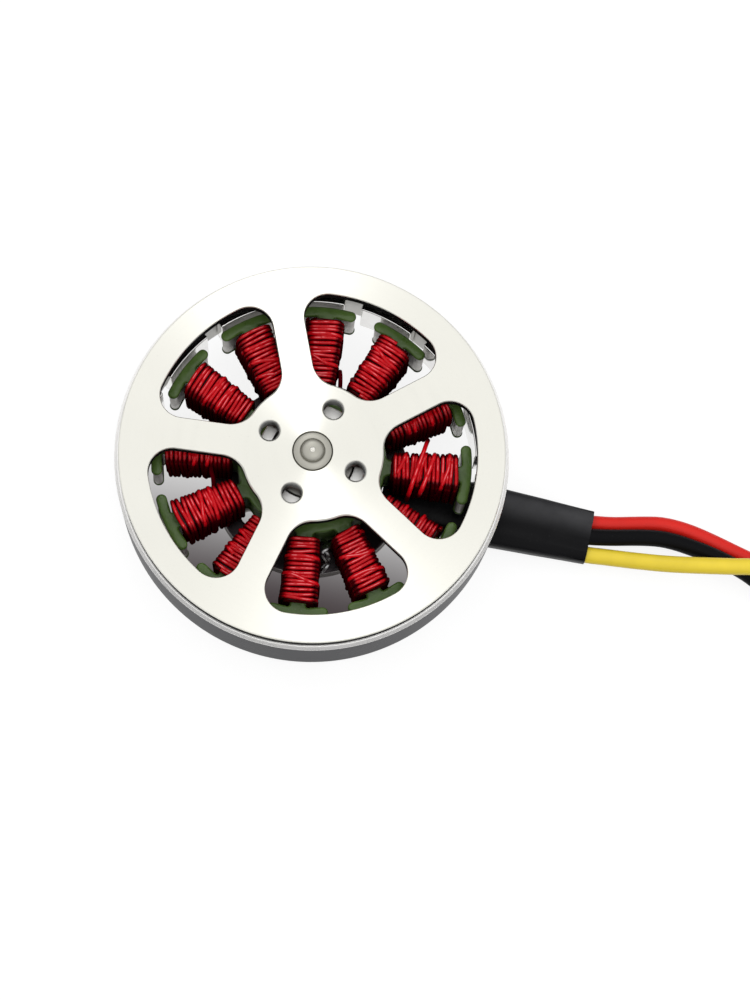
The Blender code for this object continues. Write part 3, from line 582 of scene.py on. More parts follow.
def new_group(name, inputs, outputs):
    """An empty shader node group with named float sockets, and its two end nodes."""
    group = bpy.data.node_groups.new(name, "ShaderNodeTree")
    for label, value in inputs.items():
        socket = group.interface.new_socket(label, in_out="INPUT", socket_type="NodeSocketFloat")
        socket.default_value = value
    for label in outputs:
        group.interface.new_socket(label, in_out="OUTPUT", socket_type="NodeSocketFloat")
    return group, group.nodes.new("NodeGroupInput"), group.nodes.new("NodeGroupOutput")


def turning_group():
    """Concentric tool marks: 1D noise of the distance from the spin axis, coarse and fine."""
    group, start, end = new_group("Turning Marks", {"Coarse Pitch": 1.1, "Fine Pitch": 0.12},
                                  ("Shade", "Height"))
    radius = axis_distance(group, 1000.0)
    for label, pitch, detail in (("Shade", "Coarse Pitch", 4.0), ("Height", "Fine Pitch", 2.0)):
        where = math_node(group, "DIVIDE", radius, start.outputs[pitch])
        marks = add_node(group, "TexNoise", {"W": where, "Scale": 1.0, "Detail": detail},
                         noise_dimensions="1D")
        group.links.new(marks.outputs[0], end.inputs[label])
    return group


def smudge_group():
    """Handling marks: soft noise of the place, and fine specks where a finer noise is high."""
    group, start, end = new_group("Smudges", {"Size": 6.0, "Specks": 0.35},
                                  ("Cloud", "Speck"))
    cloud = noise(group, math_node(group, "DIVIDE", 1000.0, start.outputs["Size"]), 4.0)
    edge = math_node(group, "SUBTRACT", 1.0, start.outputs["Specks"])
    specks = math_node(group, "SUBTRACT", noise(group, 4200.0, 1.0), edge)
    sharp = add_node(group, "Math", {0: specks, 1: 12.0}, operation="MULTIPLY",
                     use_clamp=True).outputs[0]
    group.links.new(cloud, end.inputs["Cloud"])
    group.links.new(sharp, end.inputs["Speck"])
    return group


def grain_group():
    """A fine moulded grain: noise at a pitch in millimetres."""
    group, start, end = new_group("Grain", {"Pitch": 0.3}, ("Height",))
    scale = math_node(group, "DIVIDE", 1000.0, start.outputs["Pitch"])
    group.links.new(noise(group, scale, 3.0), end.inputs["Height"])
    return group


GROUP_MAKERS = {"Turning Marks": turning_group, "Smudges": smudge_group, "Grain": grain_group}


def use_group(tree, name, **values):
    """A shared group placed in a material, with its own values."""
    group = bpy.data.node_groups.get(name) or GROUP_MAKERS[name]()
    node = tree.nodes.new("ShaderNodeGroup")
    node.node_tree = group
    for label, value in values.items():
        node.inputs[label.replace("_", " ").title()].default_value = value
    return node.outputs


def new_finish(name, **plain):
    """A Principled material with plain values on its own sockets: its tree and shader."""
    material = bpy.data.materials.new(f"{name}_finish")
    material.use_nodes = True
    shader = material.node_tree.nodes["Principled BSDF"]
    for label, value in plain.items():
        shader.inputs[label.replace("_", " ").title().replace("Ior", "IOR")].default_value = value
    return material.node_tree, shader


def cover(tree, shader, tint, gloss, height, depth):
    """Feeds the shader its colour, its roughness and a relief whose depth is in metres."""
    values = {"Height": height, "Strength": 1.0, "Distance": depth}
    relief = add_node(tree, "Bump", values).outputs[0]
    for label, output in (("Base Color", tint), ("Roughness", gloss), ("Normal", relief)):
        tree.links.new(output, shader.inputs[label])


def zone(tree, inner=None, outer=None, bottom=None, top=None):
    """1 where the distance from the spin axis and the height lie between limits, in metres."""
    rise, radius = coordinate(tree, "Z"), axis_distance(tree)
    tests = [(radius, "GREATER_THAN", inner), (radius, "LESS_THAN", outer),
             (rise, "GREATER_THAN", bottom), (rise, "LESS_THAN", top)]
    inside = 1.0
    for value, test, limit in tests:
        if limit is not None:
            inside = product(tree, math_node(tree, test, value, limit), inside)
    return inside


def turned_metal(name, colour, roughness, contrast, anisotropy, groove, zones):
    """Metal from the lathe: concentric marks in its tint, gloss and relief.

    The highlight is stretched across the marks. Zones are (limits, colour), where the colour
    differs; they carry painted shade and painted highlights.
    """
    tree, shader = new_finish(name, metallic=1.0, anisotropic=anisotropy,
                              anisotropic_rotation=0.25, specular_tint=(0.3, 0.3, 0.3, 1.0))
    marks = use_group(tree, "Turning Marks")
    smudges = use_group(tree, "Smudges", size=9.0, specks=0.3)
    tint = tinted(tree, marks["Shade"], shaded(colour, 1 - contrast), colour)
    tint = tinted(tree, spread(tree, smudges["Speck"], 0.0, 0.35), tint, shaded(colour, 0.8))
    for limits, other in zones:
        tint = tinted(tree, zone(tree, **limits), tint, other)
    gloss = spread(tree, marks["Shade"], roughness - 0.07, roughness + 0.07)
    gloss = math_node(tree, "ADD", gloss, spread(tree, smudges["Cloud"], -0.05, 0.05))
    ring = add_node(tree, "Tangent", direction_type="RADIAL", axis="Z")
    tree.links.new(ring.outputs[0], shader.inputs["Tangent"])
    cover(tree, shader, tint, gloss, marks["Height"], groove)


def plain_metal(name, colour, roughness, grain=0.25, depth=0.002 * MM):
    """Plated or ground metal with a faint grain and clouded gloss."""
    tree, shader = new_finish(name, metallic=1.0)
    smudges = use_group(tree, "Smudges", size=3.0, specks=0.32)
    cover(tree, shader, tinted(tree, smudges["Cloud"], shaded(colour, 0.72), colour),
          spread(tree, smudges["Cloud"], roughness - 0.08, roughness + 0.12),
          use_group(tree, "Grain", pitch=grain)["Height"], depth)


def lamination_finish(name, coat):
    """Edges of stacked sheets, bare at the tips and under the green coat in the slots.

    A dark line marks every fifth of a millimetre of height.
    """
    tree, shader = new_finish(name)
    layer = math_node(tree, "FRACT", math_node(tree, "DIVIDE", coordinate(tree, "Z"), 0.2 * MM))
    crown = math_node(tree, "SINE", product(tree, layer, math.pi))
    smudges = use_group(tree, "Smudges", size=1.5, specks=0.35)
    seam, sheet, stain = (0.3, 0.3, 0.29), (0.8, 0.79, 0.76), (0.3, 0.27, 0.23)
    metal = tinted(tree, crown, seam, sheet)
    stained = tinted(tree, spread(tree, smudges["Cloud"], 0.0, 0.4), metal, stain)
    bare = zone(tree, inner=STATOR_RADIUS - TIP_ROOT - MM)
    slot = tinted(tree, smudges["Cloud"], shaded(coat, 0.3), coat)
    tree.links.new(bare, shader.inputs["Metallic"])
    cover(tree, shader, tinted(tree, bare, slot, stained),
          spread(tree, smudges["Cloud"], 0.3, 0.6), crown, 0.02 * MM)


def epoxy_finish(name, colour):
    """Thick glossy epoxy powder coat, uneven as it flowed, with painted shade near the yoke."""
    tree, shader = new_finish(name, specular_ior_level=0.4)
    smudges = use_group(tree, "Smudges", size=1.6, specks=0.32)
    deep_tone_and_painted_shade = shaded(colour, 0.55)
    tint = tinted(tree, smudges["Cloud"], deep_tone_and_painted_shade, colour)
    # Painted shade on the coat out to a millimetre past the windings' inner ends, near the yoke.
    tint = tinted(tree, zone(tree, outer=COIL_INNER + MM), tint, deep_tone_and_painted_shade)
    dusty = tinted(tree, spread(tree, smudges["Speck"], 0.0, 0.4), tint, (0.2, 0.24, 0.17))
    cover(tree, shader, dusty, spread(tree, smudges["Cloud"], 0.2, 0.42),
          use_group(tree, "Grain", pitch=0.9)["Height"], 0.09 * MM)


def enamel_finish(name, colour):
    """Enamel on copper wire: clear red on the end turns' crests, with short painted highlights as
    gleams.

    It has painted shade in the grooves and along a coil's sides.
    """
    tree, shader = new_finish(name, specular_ior_level=0.0, coat_roughness=0.12)
    smudges = use_group(tree, "Smudges", size=1.2, specks=0.3)
    tint = tinted(tree, smudges["Cloud"], shaded(colour, 0.55), colour)
    rise = coordinate(tree, "Z")
    out = math_node(tree, "ABSOLUTE", math_node(tree, "SUBTRACT", rise, STACK_MIDDLE))
    reach = COIL_TOP - STACK_MIDDLE
    end_turn = smooth_step(tree, out, 0.68 * reach, 0.87 * reach)
    crest, facing = [add_node(tree, "Attribute", attribute_name=label).outputs["Fac"]
                     for label in ("crest", "facing")]
    # Painted highlights: short pale gleams on the end turns where a strand faces straight up or
    # down, broken up by the cloud noise.
    painted_gleam = product(tree, smooth_step(tree, facing, 0.88, 1.0),
                    smooth_step(tree, smudges["Cloud"], 0.46, 0.6))
    painted_gleam = product(tree, painted_gleam, end_turn)
    # Painted shade: dark red along a coil's sides and in the grooves between turns.
    pale, painted_side_shade, groove = (1.0, 0.24, 0.26), (0.08, 0.0, 0.003), (0.06, 0.0, 0.002)
    side = tinted(tree, end_turn, painted_side_shade, tinted(tree, painted_gleam, tint, pale))
    clear = smooth_step(tree, crest, 0.6, 1.0)
    tree.links.new(product(tree, end_turn, 0.35), shader.inputs["Coat Weight"])
    cover(tree, shader, tinted(tree, clear, groove, side),
          spread(tree, smudges["Cloud"], 0.16, 0.3),
          use_group(tree, "Grain", pitch=0.5)["Height"], 0.012 * MM)


def rubber_finish(name, colour, shine=0.28, roughness=0.42, grain=0.25, depth=0.006 * MM,
                  painted_sheen=None):
    """Silicone or shrink tube: satin, with faint grain and a little dust.

    A painted sheen colour greys a soft band along it, from y = -0.8 mm to 4.2 mm.
    """
    tree, shader = new_finish(name, specular_ior_level=shine)
    smudges = use_group(tree, "Smudges", size=2.5, specks=0.3)
    tint = tinted(tree, smudges["Cloud"], shaded(colour, 0.82), colour)
    pale = tuple(channel + 0.06 for channel in shaded(colour, 0.85))
    tint = tinted(tree, spread(tree, smudges["Speck"], 0.0, 0.15), tint, pale)
    if painted_sheen:
        # Painted sheen: a paler soft band on the +Y side, patchy by the cloud noise.
        across = coordinate(tree, "Y")
        stripe = product(tree, smooth_step(tree, across, -0.8 * MM, 2.2 * MM),
                         smooth_step(tree, across, 4.2 * MM, 2.4 * MM))
        patchy = product(tree, stripe, spread(tree, smudges["Cloud"], 0.4, 1.0))
        tint = tinted(tree, patchy, tint, painted_sheen)
    cover(tree, shader, tint, spread(tree, smudges["Cloud"], roughness - 0.06, roughness + 0.1),
          use_group(tree, "Grain", pitch=grain)["Height"], depth)


def finish(name):
    """The named finish, made the first time that it is asked for."""
    material = bpy.data.materials.get(f"{name}_finish")
    if material is not None:
        return material
    colours = bpy.context.scene.motor_colours
    dark, rim, hole = (0.02, 0.02, 0.02), 0.4 * MM, PROP_HOLE + 0.2 * MM
    base_floor, tube_edge = 2.8 * MM, 7.4 * MM
    # Painted shade on the cap: dark on its window walls, the spokes' undersides and the rim's
    # underside, nearly as dark on the thin side of its edge, and grey on the walls of the
    # propeller holes.
    cap_painted_shade = [
        ({"inner": HUB_RADIUS - rim, "outer": WINDOW_RADIUS + rim, "top": WEB_TOP - 0.3 * MM},
         dark),
        ({"inner": WINDOW_RADIUS, "outer": RING_INNER, "top": WEB_BOTTOM + 0.2 * MM}, dark),
        ({"inner": CAP_RADIUS - 0.1 * MM, "top": WEB_TOP - 0.16 * MM}, (0.05, 0.05, 0.05)),
        ({"inner": PROP_CIRCLE - hole, "outer": PROP_CIRCLE + hole, "top": CAP_TOP - 0.1 * MM},
         (0.4, 0.4, 0.39))]
    # Painted shade on the base's top face and shoulder, and a painted highlight on the top of its
    # bearing tube.
    base_painted_shade_and_highlight = [({"bottom": base_floor, "inner": tube_edge}, (0.07, 0.06, 0.065)),
                  ({"bottom": TUBE_TOP - MM, "outer": tube_edge}, (0.85, 0.84, 0.82))]
    # A painted highlight along the ring's top edge; its inner wall is paler than the outside.
    ring_painted_highlight_and_pale_bore = [({"bottom": RING_TOP - 0.42 * MM}, (1.0, 0.99, 0.97)),
                  ({"outer": RING_INNER + 0.2 * MM}, (0.8, 0.79, 0.76))]
    # A painted highlight in the shaft's centre mark.
    shaft_painted_highlight = [({"outer": 0.32 * MM, "bottom": CAP_TOP}, (0.95, 0.94, 0.9))]
    makers = {
        "turned_aluminium": (turned_metal, colours.aluminium, 0.33, 0.05, 0.95, 0.003 * MM,
                             cap_painted_shade),
        "dull_aluminium": (turned_metal, (0.5, 0.49, 0.47), 0.42, 0.1, 0.4, 0.004 * MM,
                           base_painted_shade_and_highlight),
        "turned_steel": (turned_metal, colours.steel, 0.3, 0.12, 0.3, 0.003 * MM, ring_painted_highlight_and_pale_bore),
        "shaft_steel": (turned_metal, (0.44, 0.43, 0.38), 0.36, 0.15, 0.3, 0.002 * MM,
                        shaft_painted_highlight),
        "nickel_plate": (plain_metal, (0.96, 0.95, 0.93), 0.1),
        "ground_steel": (plain_metal, (0.5, 0.49, 0.46), 0.3, 0.15),
        "blackened_steel": (plain_metal, (0.16, 0.16, 0.17), 0.38),
        "brass_cage": (plain_metal, (0.66, 0.48, 0.22), 0.3),
        "gold_plate": (plain_metal, (0.92, 0.68, 0.28), 0.22),
        "solder": (plain_metal, (0.6, 0.6, 0.6), 0.3, 0.6, 0.03 * MM),
        "lamination_edges": (lamination_finish, colours.epoxy),
        "green_epoxy": (epoxy_finish, colours.epoxy),
        "red_enamel": (enamel_finish, colours.enamel),
        "red_silicone": (rubber_finish, colours.red),
        "yellow_silicone": (rubber_finish, colours.yellow, 0.4, 0.36),
        "black_silicone": (rubber_finish, colours.black, 0.07),
        # The shrink sleeve's last value is the colour of its painted sheen.
        "shrink_sleeve": (rubber_finish, colours.black, 0.1, 0.34, 0.6, 0.02 * MM,
                          (0.07, 0.07, 0.074)),
    }
    maker, *values = makers[name]
    maker(name, *values)
    return bpy.data.materials[f"{name}_finish"]


# Pieces of the bell


class MOTOR_OT_bell_cap(bpy.types.Operator):
    """Turns the cap and cuts its windows and tapped holes"""

    bl_idname = "motor.bell_cap"
    bl_label = "Bell Cap"

    def execute(self, context):
        sizes = context.scene.motor_sizes
        hub_bottom = CAP_TOP - HUB_THICKNESS
        corners = [
            (CAP_BORE, CAP_TOP), (HUB_RADIUS - MM, CAP_TOP), (HUB_RADIUS + MM, WEB_TOP),
            (CAP_RADIUS, WEB_TOP), (CAP_RADIUS, WEB_BOTTOM), (SPIGOT_OUTER, WEB_BOTTOM),
            (SPIGOT_OUTER, WEB_BOTTOM - SPIGOT_DEPTH), (SPIGOT_INNER, WEB_BOTTOM - SPIGOT_DEPTH),
            (SPIGOT_INNER, WEB_BOTTOM), (HUB_RADIUS, WEB_BOTTOM),
            (HUB_RADIUS - (WEB_BOTTOM - hub_bottom), hub_bottom), (BOSS_RADIUS, hub_bottom),
            (BOSS_RADIUS, BOSS_BOTTOM), (CAP_BORE, BOSS_BOTTOM)]
        radii = np.array([0.08, 12, 12, 0.22, 0.05, 0.05, 0.15, 0.15, 0.3, 0.3, 0.2, 0.2,
                          0.1, 0.1]) * MM
        cap = dress("bell_cap", turned(rounded(corners, radii), sizes.facets),
                    "turned_aluminium", "bell")
        window = through_cutter(window_outline(), WEB_BOTTOM, WEB_TOP, sizes.chamfer)
        holes = tapped_holes(PROP_CIRCLE, PROP_ANGLE, PROP_HOLE - THREAD_CREST, hub_bottom,
                             CAP_TOP, 0.08 * MM)
        cut_piece(cap, repeated(window, WINDOW_COUNT, WINDOW_ANGLE) + holes)
        return {"FINISHED"}


class MOTOR_OT_flux_ring(bpy.types.Operator):
    """Turns the steel ring behind the magnets"""

    bl_idname = "motor.flux_ring"
    bl_label = "Flux Ring"

    def execute(self, context):
        corners = [(RING_INNER, RING_TOP), (BELL_RADIUS - 0.4 * MM, RING_TOP),
                   (BELL_RADIUS, RING_TOP - 0.4 * MM), (BELL_RADIUS, RING_BOTTOM),
                   (RING_INNER, RING_BOTTOM)]
        radii = np.array([0.05, 0.08, 0.08, 0.25, 0.1]) * MM
        ring = turned(rounded(corners, radii), context.scene.motor_sizes.facets)
        dress("flux_ring", ring, "turned_steel", "bell")
        return {"FINISHED"}


def magnet_surface():
    """One arc magnet about +X: a rounded (radius, height) section carried through an angle.

    Towards an end the section shrinks by edge (1 - sin t) while its place goes by
    edge (1 - cos t), a quarter circle.
    """
    half = math.pi / MAGNET_COUNT - MAGNET_GAP / (MAGNET_INNER + MAGNET_OUTER)
    edge = 0.14 * MM
    section = band(MAGNET_INNER, MAGNET_OUTER, MAGNET_BOTTOM, MAGNET_TOP, edge)
    middle = section.mean(axis=0)
    round_end = edge / MAGNET_INNER
    turn = np.linspace(0, math.pi / 2, 5)
    run = round_end * (1 - np.cos(turn))
    angle = np.concatenate([run - half, np.linspace(round_end - half, half - round_end, 14)[1:-1],
                            half - run[::-1]])
    inset = edge * (1 - np.sin(turn))
    inset = np.concatenate([inset, np.zeros(12), inset[::-1]])
    away = section - middle
    shrink = 1 - inset[:, None, None] / np.abs(away).max(axis=0)
    radius = middle[0] + away[:, 0] * shrink[:, :, 0]
    height = middle[1] + away[:, 1] * shrink[:, :, 1]
    return capped(polar(radius, angle[:, None], height))


class MOTOR_OT_magnets(bpy.types.Operator):
    """Makes the arc magnets inside the ring"""

    bl_idname = "motor.magnets"
    bl_label = "Magnets"

    def execute(self, context):
        magnets = repeated(magnet_surface(), MAGNET_COUNT, MAGNET_ANGLE)
        for number, magnet in enumerate(magnets, start=1):
            dress(f"magnet_{number:02d}", magnet, "nickel_plate", "bell")
        return {"FINISHED"}


class MOTOR_OT_shaft(bpy.types.Operator):
    """Turns the shaft with its end boss and centre mark, the washer and the clip"""

    bl_idname = "motor.shaft"
    bl_label = "Shaft"

    def execute(self, context):
        nose, edge, dot, tip = 1.5 * MM, 0.25 * MM, 0.35 * MM, 0.02 * MM
        nose_round = np.array([(0.6, 0), (0.35, 0.06), (0.17, 0.17), (0.05, 0.32), (0, 0.48)]) * MM
        shoulder = CAP_TOP + 0.1 * MM
        groove_top, groove_bottom = high("retaining_clip", 2), low("retaining_clip", 2)
        slack, depth = 0.15 * MM, 0.35 * MM
        profile = [
            (tip, SHAFT_TOP - dot), (dot, SHAFT_TOP), *((nose, SHAFT_TOP) - nose_round),
            (nose + 0.04 * MM, shoulder + 0.08 * MM), (nose + 0.14 * MM, shoulder),
            (SHAFT_RADIUS - 0.3 * MM, shoulder), (SHAFT_RADIUS - 0.1 * MM, shoulder - 0.1 * MM),
            (SHAFT_RADIUS, shoulder - 0.3 * MM), (SHAFT_RADIUS, groove_top + slack),
            (SHAFT_RADIUS - depth, groove_top + slack),
            (SHAFT_RADIUS - depth, groove_bottom - slack), (SHAFT_RADIUS, groove_bottom - slack),
            (SHAFT_RADIUS, SHAFT_FOOT + edge), (SHAFT_RADIUS - edge, SHAFT_FOOT),
            (dot, SHAFT_FOOT), (tip, SHAFT_FOOT + dot)]
        shaft = turned(profile, 96, solid=True)
        dress("shaft", shaft, "shaft_steel", "bell")
        washer = band(BORE_RADIUS, high("thrust_washer", 0), low("thrust_washer", 2),
                      high("thrust_washer", 2), 0.08 * MM)
        dress("thrust_washer", turned(washer, 96), "ground_steel", "bell")
        self.make_clip(groove_bottom, groove_top)
        return {"FINISHED"}

    def make_clip(self, bottom, top):
        """An open ring that narrows at its two ends, by a bell curve of the angle from each."""
        outer, inner, half_open = high("retaining_clip", 1), SHAFT_RADIUS - 0.2 * MM, 35.0
        angle = np.radians(np.linspace(half_open, 360 - half_open, 73))
        from_end = np.minimum(angle - angle[0], angle[-1] - angle)
        taper = 0.18 * MM * np.exp(-(from_end / 0.16) ** 2)
        section = band(0, 1, bottom, top, 0.06 * MM) * [outer - inner, 1] + [inner, 0]
        wide = section[:, 0] - inner
        radius = inner + wide[None] * (1 - taper[:, None] / (outer - inner))
        ring = capped(polar(radius, angle[:, None], section[:, 1]))
        dress("retaining_clip", ring, "blackened_steel", "bell")


class MOTOR_OT_bearings(bpy.types.Operator):
    """Makes the races, and the balls in their cages"""

    bl_idname = "motor.bearings"
    bl_label = "Bearings"

    def execute(self, context):
        wall, ball, edge = 0.9 * MM, 0.6 * MM, 0.1 * MM
        half = BEARING_WIDTH / 2
        groove = 0.25 * MM * np.cos(np.linspace(-math.pi / 2, math.pi / 2, 9))
        rise = np.linspace(-ball, ball, 9)
        step = np.concatenate([[0, edge, wall], wall - groove, [wall, edge, 0]])
        height = np.concatenate([[edge - half, -half, -half], rise, [half, half, half - edge]])
        balls = self.ball_set((BORE_RADIUS + BEARING_RADIUS) / 2, ball)
        for place, bottom in (("upper", UPPER_BEARING), ("lower", LOWER_BEARING)):
            middle = (0, 0, bottom + half)
            for side, way, face, body in (("inner", 1, BORE_RADIUS, "bell"),
                                          ("outer", -1, BEARING_RADIUS, "stator")):
                race = turned(np.column_stack([face + way * step, way * height]), 120)
                dress(f"{place}_{side}_race", placed(race, shift=middle), "ground_steel", body)
            dress(f"{place}_ball_set", placed(balls, shift=middle), "brass_cage",
                  f"{place}_balls")
        return {"FINISHED"}

    def ball_set(self, pitch, ball):
        """Balls on a pitch circle with the ring that spaces them."""
        slant = np.linspace(0.06, math.pi - 0.06, 14)
        sphere = turned(np.column_stack([ball * np.sin(slant), ball * np.cos(slant)]), 24,
                        solid=True)
        wide, tall = 0.2 * MM, 0.3 * MM
        ring = turned(band(pitch - wide, pitch + wide, -tall, tall, 0.05 * MM), 120)
        return joined([*repeated(placed(sphere, shift=(pitch, 0, 0)), BALL_COUNT), ring])


# Pieces of the stator


class MOTOR_OT_base(bpy.types.Operator):
    """Turns the base with its bearing tube, and cuts the cable notch and the screw holes"""

    bl_idname = "motor.base"
    bl_label = "Base"

    def execute(self, context):
        plate, tube_wall, shoulder = 3.0 * MM, 7.0 * MM, 0.8 * MM
        seat = BEARING_RADIUS + FIT_SLACK
        lip = seat - 0.6 * MM
        shoulder_top = STACK_BOTTOM - FIT_SLACK
        lower_seat = LOWER_BEARING + BEARING_WIDTH + FIT_SLACK
        upper_seat = UPPER_BEARING - FIT_SLACK
        corners = [
            (seat, TUBE_TOP), (tube_wall, TUBE_TOP), (tube_wall, shoulder_top),
            (tube_wall + shoulder, shoulder_top), (tube_wall + shoulder, plate),
            (BASE_RADIUS, plate), (BASE_RADIUS, 0), (seat, 0), (seat, lower_seat),
            (lip, lower_seat), (lip, upper_seat), (seat, upper_seat)]
        radii = np.array([0.1, 0.15, 0.1, 0.15, 0.4, 0.4, 0.35, 0.2, 0.1, 0.1, 0.1, 0.1]) * MM
        base = add_piece("base_finished", turned(rounded(corners, radii), 180),
                         "dull_aluminium", "stator", "base_mount")
        chamfer = 0.15 * MM
        holes = tapped_holes(MOUNT_CIRCLE, MOUNT_ANGLE, MOUNT_HOLE - THREAD_CREST, 0, plate,
                             chamfer)
        half, start = SLEEVE_HALF_WIDTH + 0.3 * MM, SLEEVE_START - 0.3 * MM
        notch = band(start, 3 * BASE_RADIUS, -half, half, 0.6 * MM, 6)
        cut_piece(base, [*holes, through_cutter(notch, 0, plate, chamfer)])
        return {"FINISHED"}


def tooth_half():
    """Half of one tooth's outline from the middle of its face to the middle of the valley.

    Arcs: the face on the stator's circle, the tip's round end, a small fillet at the tooth's
    neck, a fillet at the yoke, and the yoke's circle.
    """
    neck, fillet = TOOTH_WIDTH / 2, 0.5 * MM
    reach = math.sqrt((YOKE_RADIUS + fillet) ** 2 - (neck + fillet) ** 2)
    root_angle = math.atan2(neck + fillet, reach)
    end_radius = TIP_EDGE / 2
    end_circle = STATOR_RADIUS - end_radius
    end_angle = math.asin((TIP_WIDTH / 2 - end_radius) / end_circle)
    end = (end_circle * math.cos(end_angle), end_circle * math.sin(end_angle))
    small = fillet / 2
    return np.vstack([
        arc_points((0, 0), STATOR_RADIUS, 0, end_angle, 10),
        arc_points(end, end_radius, end_angle, end_angle + math.pi, 12)[1:],
        arc_points((STATOR_RADIUS - TIP_ROOT - small, neck + small), small, 0, -math.pi / 2, 5),
        arc_points((reach, neck + fillet), fillet, -math.pi / 2, root_angle - math.pi, 6),
        arc_points((0, 0), YOKE_RADIUS, root_angle, math.pi / TOOTH_COUNT, 4)[1:]])


def stack_surface(profile):
    """The whole stack's shape: its outline with a profile of (offset, height) rows.

    The bore's wall is a grid of its own. Each face is split into one polygon to a tooth, from
    valley to valley and back along the bore.
    """
    half = tooth_half()
    tooth = np.vstack([(half * [1, -1])[:0:-1], half[:-1]])
    size = len(tooth)
    turn = np.radians(TOOTH_ANGLE + 360 * np.arange(TOOTH_COUNT) / TOOTH_COUNT)
    cosine, sine = np.cos(turn)[:, None], np.sin(turn)[:, None]
    outline = np.stack([tooth[:, 0] * cosine - tooth[:, 1] * sine,
                        tooth[:, 0] * sine + tooth[:, 1] * cosine], axis=-1).reshape(-1, 2)
    count = len(outline)
    steps = 10
    start = math.radians(TOOTH_ANGLE) - math.pi / TOOTH_COUNT
    angle = start + np.linspace(0, math.tau, TOOTH_COUNT * steps, endpoint=False)
    circle = STATOR_BORE * np.column_stack([np.cos(angle), np.sin(angle)])
    bore = carried(circle, [(0, profile[0][1]), (0, profile[-1][1])], lids=False)
    points, quads, polygons = joined([carried(outline, profile, lids=False), bore])
    first = len(profile) * count
    for k in range(TOOTH_COUNT):
        outer = (k * size + np.arange(size + 1)) % count
        inner = (k * steps + np.arange(steps, -1, -1)) % len(circle)
        polygons.append(np.concatenate([outer, first + inner]))
        polygons.append(np.concatenate([outer + (len(profile) - 1) * count,
                                        first + len(circle) + inner])[::-1])
    return points, quads, polygons


class MOTOR_OT_stator_stack(bpy.types.Operator):
    """Makes the lamination stack and the epoxy that wraps its two faces"""

    bl_idname = "motor.stator_stack"
    bl_label = "Stator Stack"

    def execute(self, context):
        wrap = context.scene.motor_sizes.coat_wrap
        skin, round_edge = 0.12 * MM, 0.34 * MM
        stack = stack_surface([(-skin, STACK_BOTTOM + wrap / 2), (-skin, STACK_TOP - wrap / 2)])
        add_piece("lamination_stack", stack, "lamination_edges", "stator", "stator_core")
        turn = np.linspace(0, math.pi / 2, 5)
        offset = -round_edge * (1 - np.cos(turn))
        rise = round_edge * np.sin(turn)
        for name, face, way in (("epoxy_coat_top", STACK_TOP, 1),
                                ("epoxy_coat_bottom", STACK_BOTTOM, -1)):
            height = face - way * (round_edge - rise)
            profile = [(-skin, face - way * wrap), (-0.3 * skin, face - way * (wrap - 0.06 * MM)),
                       *zip(offset, height)]
            add_piece(name, stack_surface(profile), "green_epoxy", "stator",
                      sharp=60)
        return {"FINISHED"}


def coil_sizes(share):
    """Half width and half height of a coil: straight lines of the share from yoke to tip."""
    width = (COIL_WIDTH_IN + share * (COIL_WIDTH_OUT - COIL_WIDTH_IN)) / 2
    inner_height = STACK_TOP + END_TURN_IN - STACK_MIDDLE
    return width, inner_height + share * (COIL_TOP - STACK_MIDDLE - inner_height)


def coil_section(share, angle, lift=0.0):
    """Places (y, z) on a coil's rounded rectangular turn, and the outward unit normals.

    The outline is the superellipse |y/w|^n + |z/h|^n = 1, whose normal is its gradient.
    """
    rim = lift - bpy.context.scene.motor_sizes.wire / 2
    width, height = (size + rim for size in coil_sizes(share))
    power = 8.0
    cosine, sine = np.cos(angle), np.sin(angle)
    reach = (np.abs(cosine) ** power + np.abs(sine) ** power) ** (-1 / power)
    y, z = width * reach * cosine, height * reach * sine
    slope = np.stack([np.sign(y) * np.abs(y / width) ** (power - 1) / width,
                      np.sign(z) * np.abs(z / height) ** (power - 1) / height], axis=-1)
    return y, z + STACK_MIDDLE, slope / np.linalg.norm(slope, axis=-1)[..., None]


def wander(count, waves, seed):
    """A smooth random line of unit size: a sum of sines with seeded phases."""
    chance = np.random.default_rng(seed)
    share = np.linspace(0, 1, count)[:, None]
    rate = waves * chance.uniform(0.5, 1.5, 6)
    phase = chance.uniform(0, math.tau, 6)
    return np.sin(math.tau * rate * share + phase).sum(axis=1) / math.sqrt(6)


def strand(start, end, turns, lift, stray, seed, phase=0.0):
    """One stretch of wire wound on a tooth from one place to another, as a tube.

    Along the tooth it moves evenly and strays by a smooth random line. Round the tooth its
    angle grows evenly, plus a small sine of twice itself, and where it strays it is lifted a
    little over its neighbours. Near the tip it bellies outwards by w^2/4 - y^2.
    """
    steps, heap, highest = 44, 0.35, 0.3 * MM
    sizes = bpy.context.scene.motor_sizes
    count = int(turns * steps) + 1
    angle = phase + np.linspace(0, math.tau * turns, count)
    angle += 0.12 * np.sin(2 * angle)
    drift = stray * wander(count, turns * 1.1, seed)
    along = np.clip(start + (end - start) * np.linspace(0, 1, count) + drift,
                    COIL_INNER + sizes.wire / 2, COIL_OUTER - sizes.wire / 2)
    rise = lift + heap * np.abs(drift)
    share = (along - COIL_INNER) / (COIL_OUTER - COIL_INNER)
    y, z, normal = coil_section(share, angle, np.minimum(rise, highest) * 0.5 - WIRE_SINK)
    belly = (COIL_WIDTH_OUT ** 2 / 4 - y ** 2) / (2 * (STATOR_RADIUS - TIP_ROOT))
    path = np.column_stack([along + share ** 3 * belly, y, z])
    up = np.column_stack([np.zeros(count), normal])
    return tube(path, up, sizes.wire / 2)


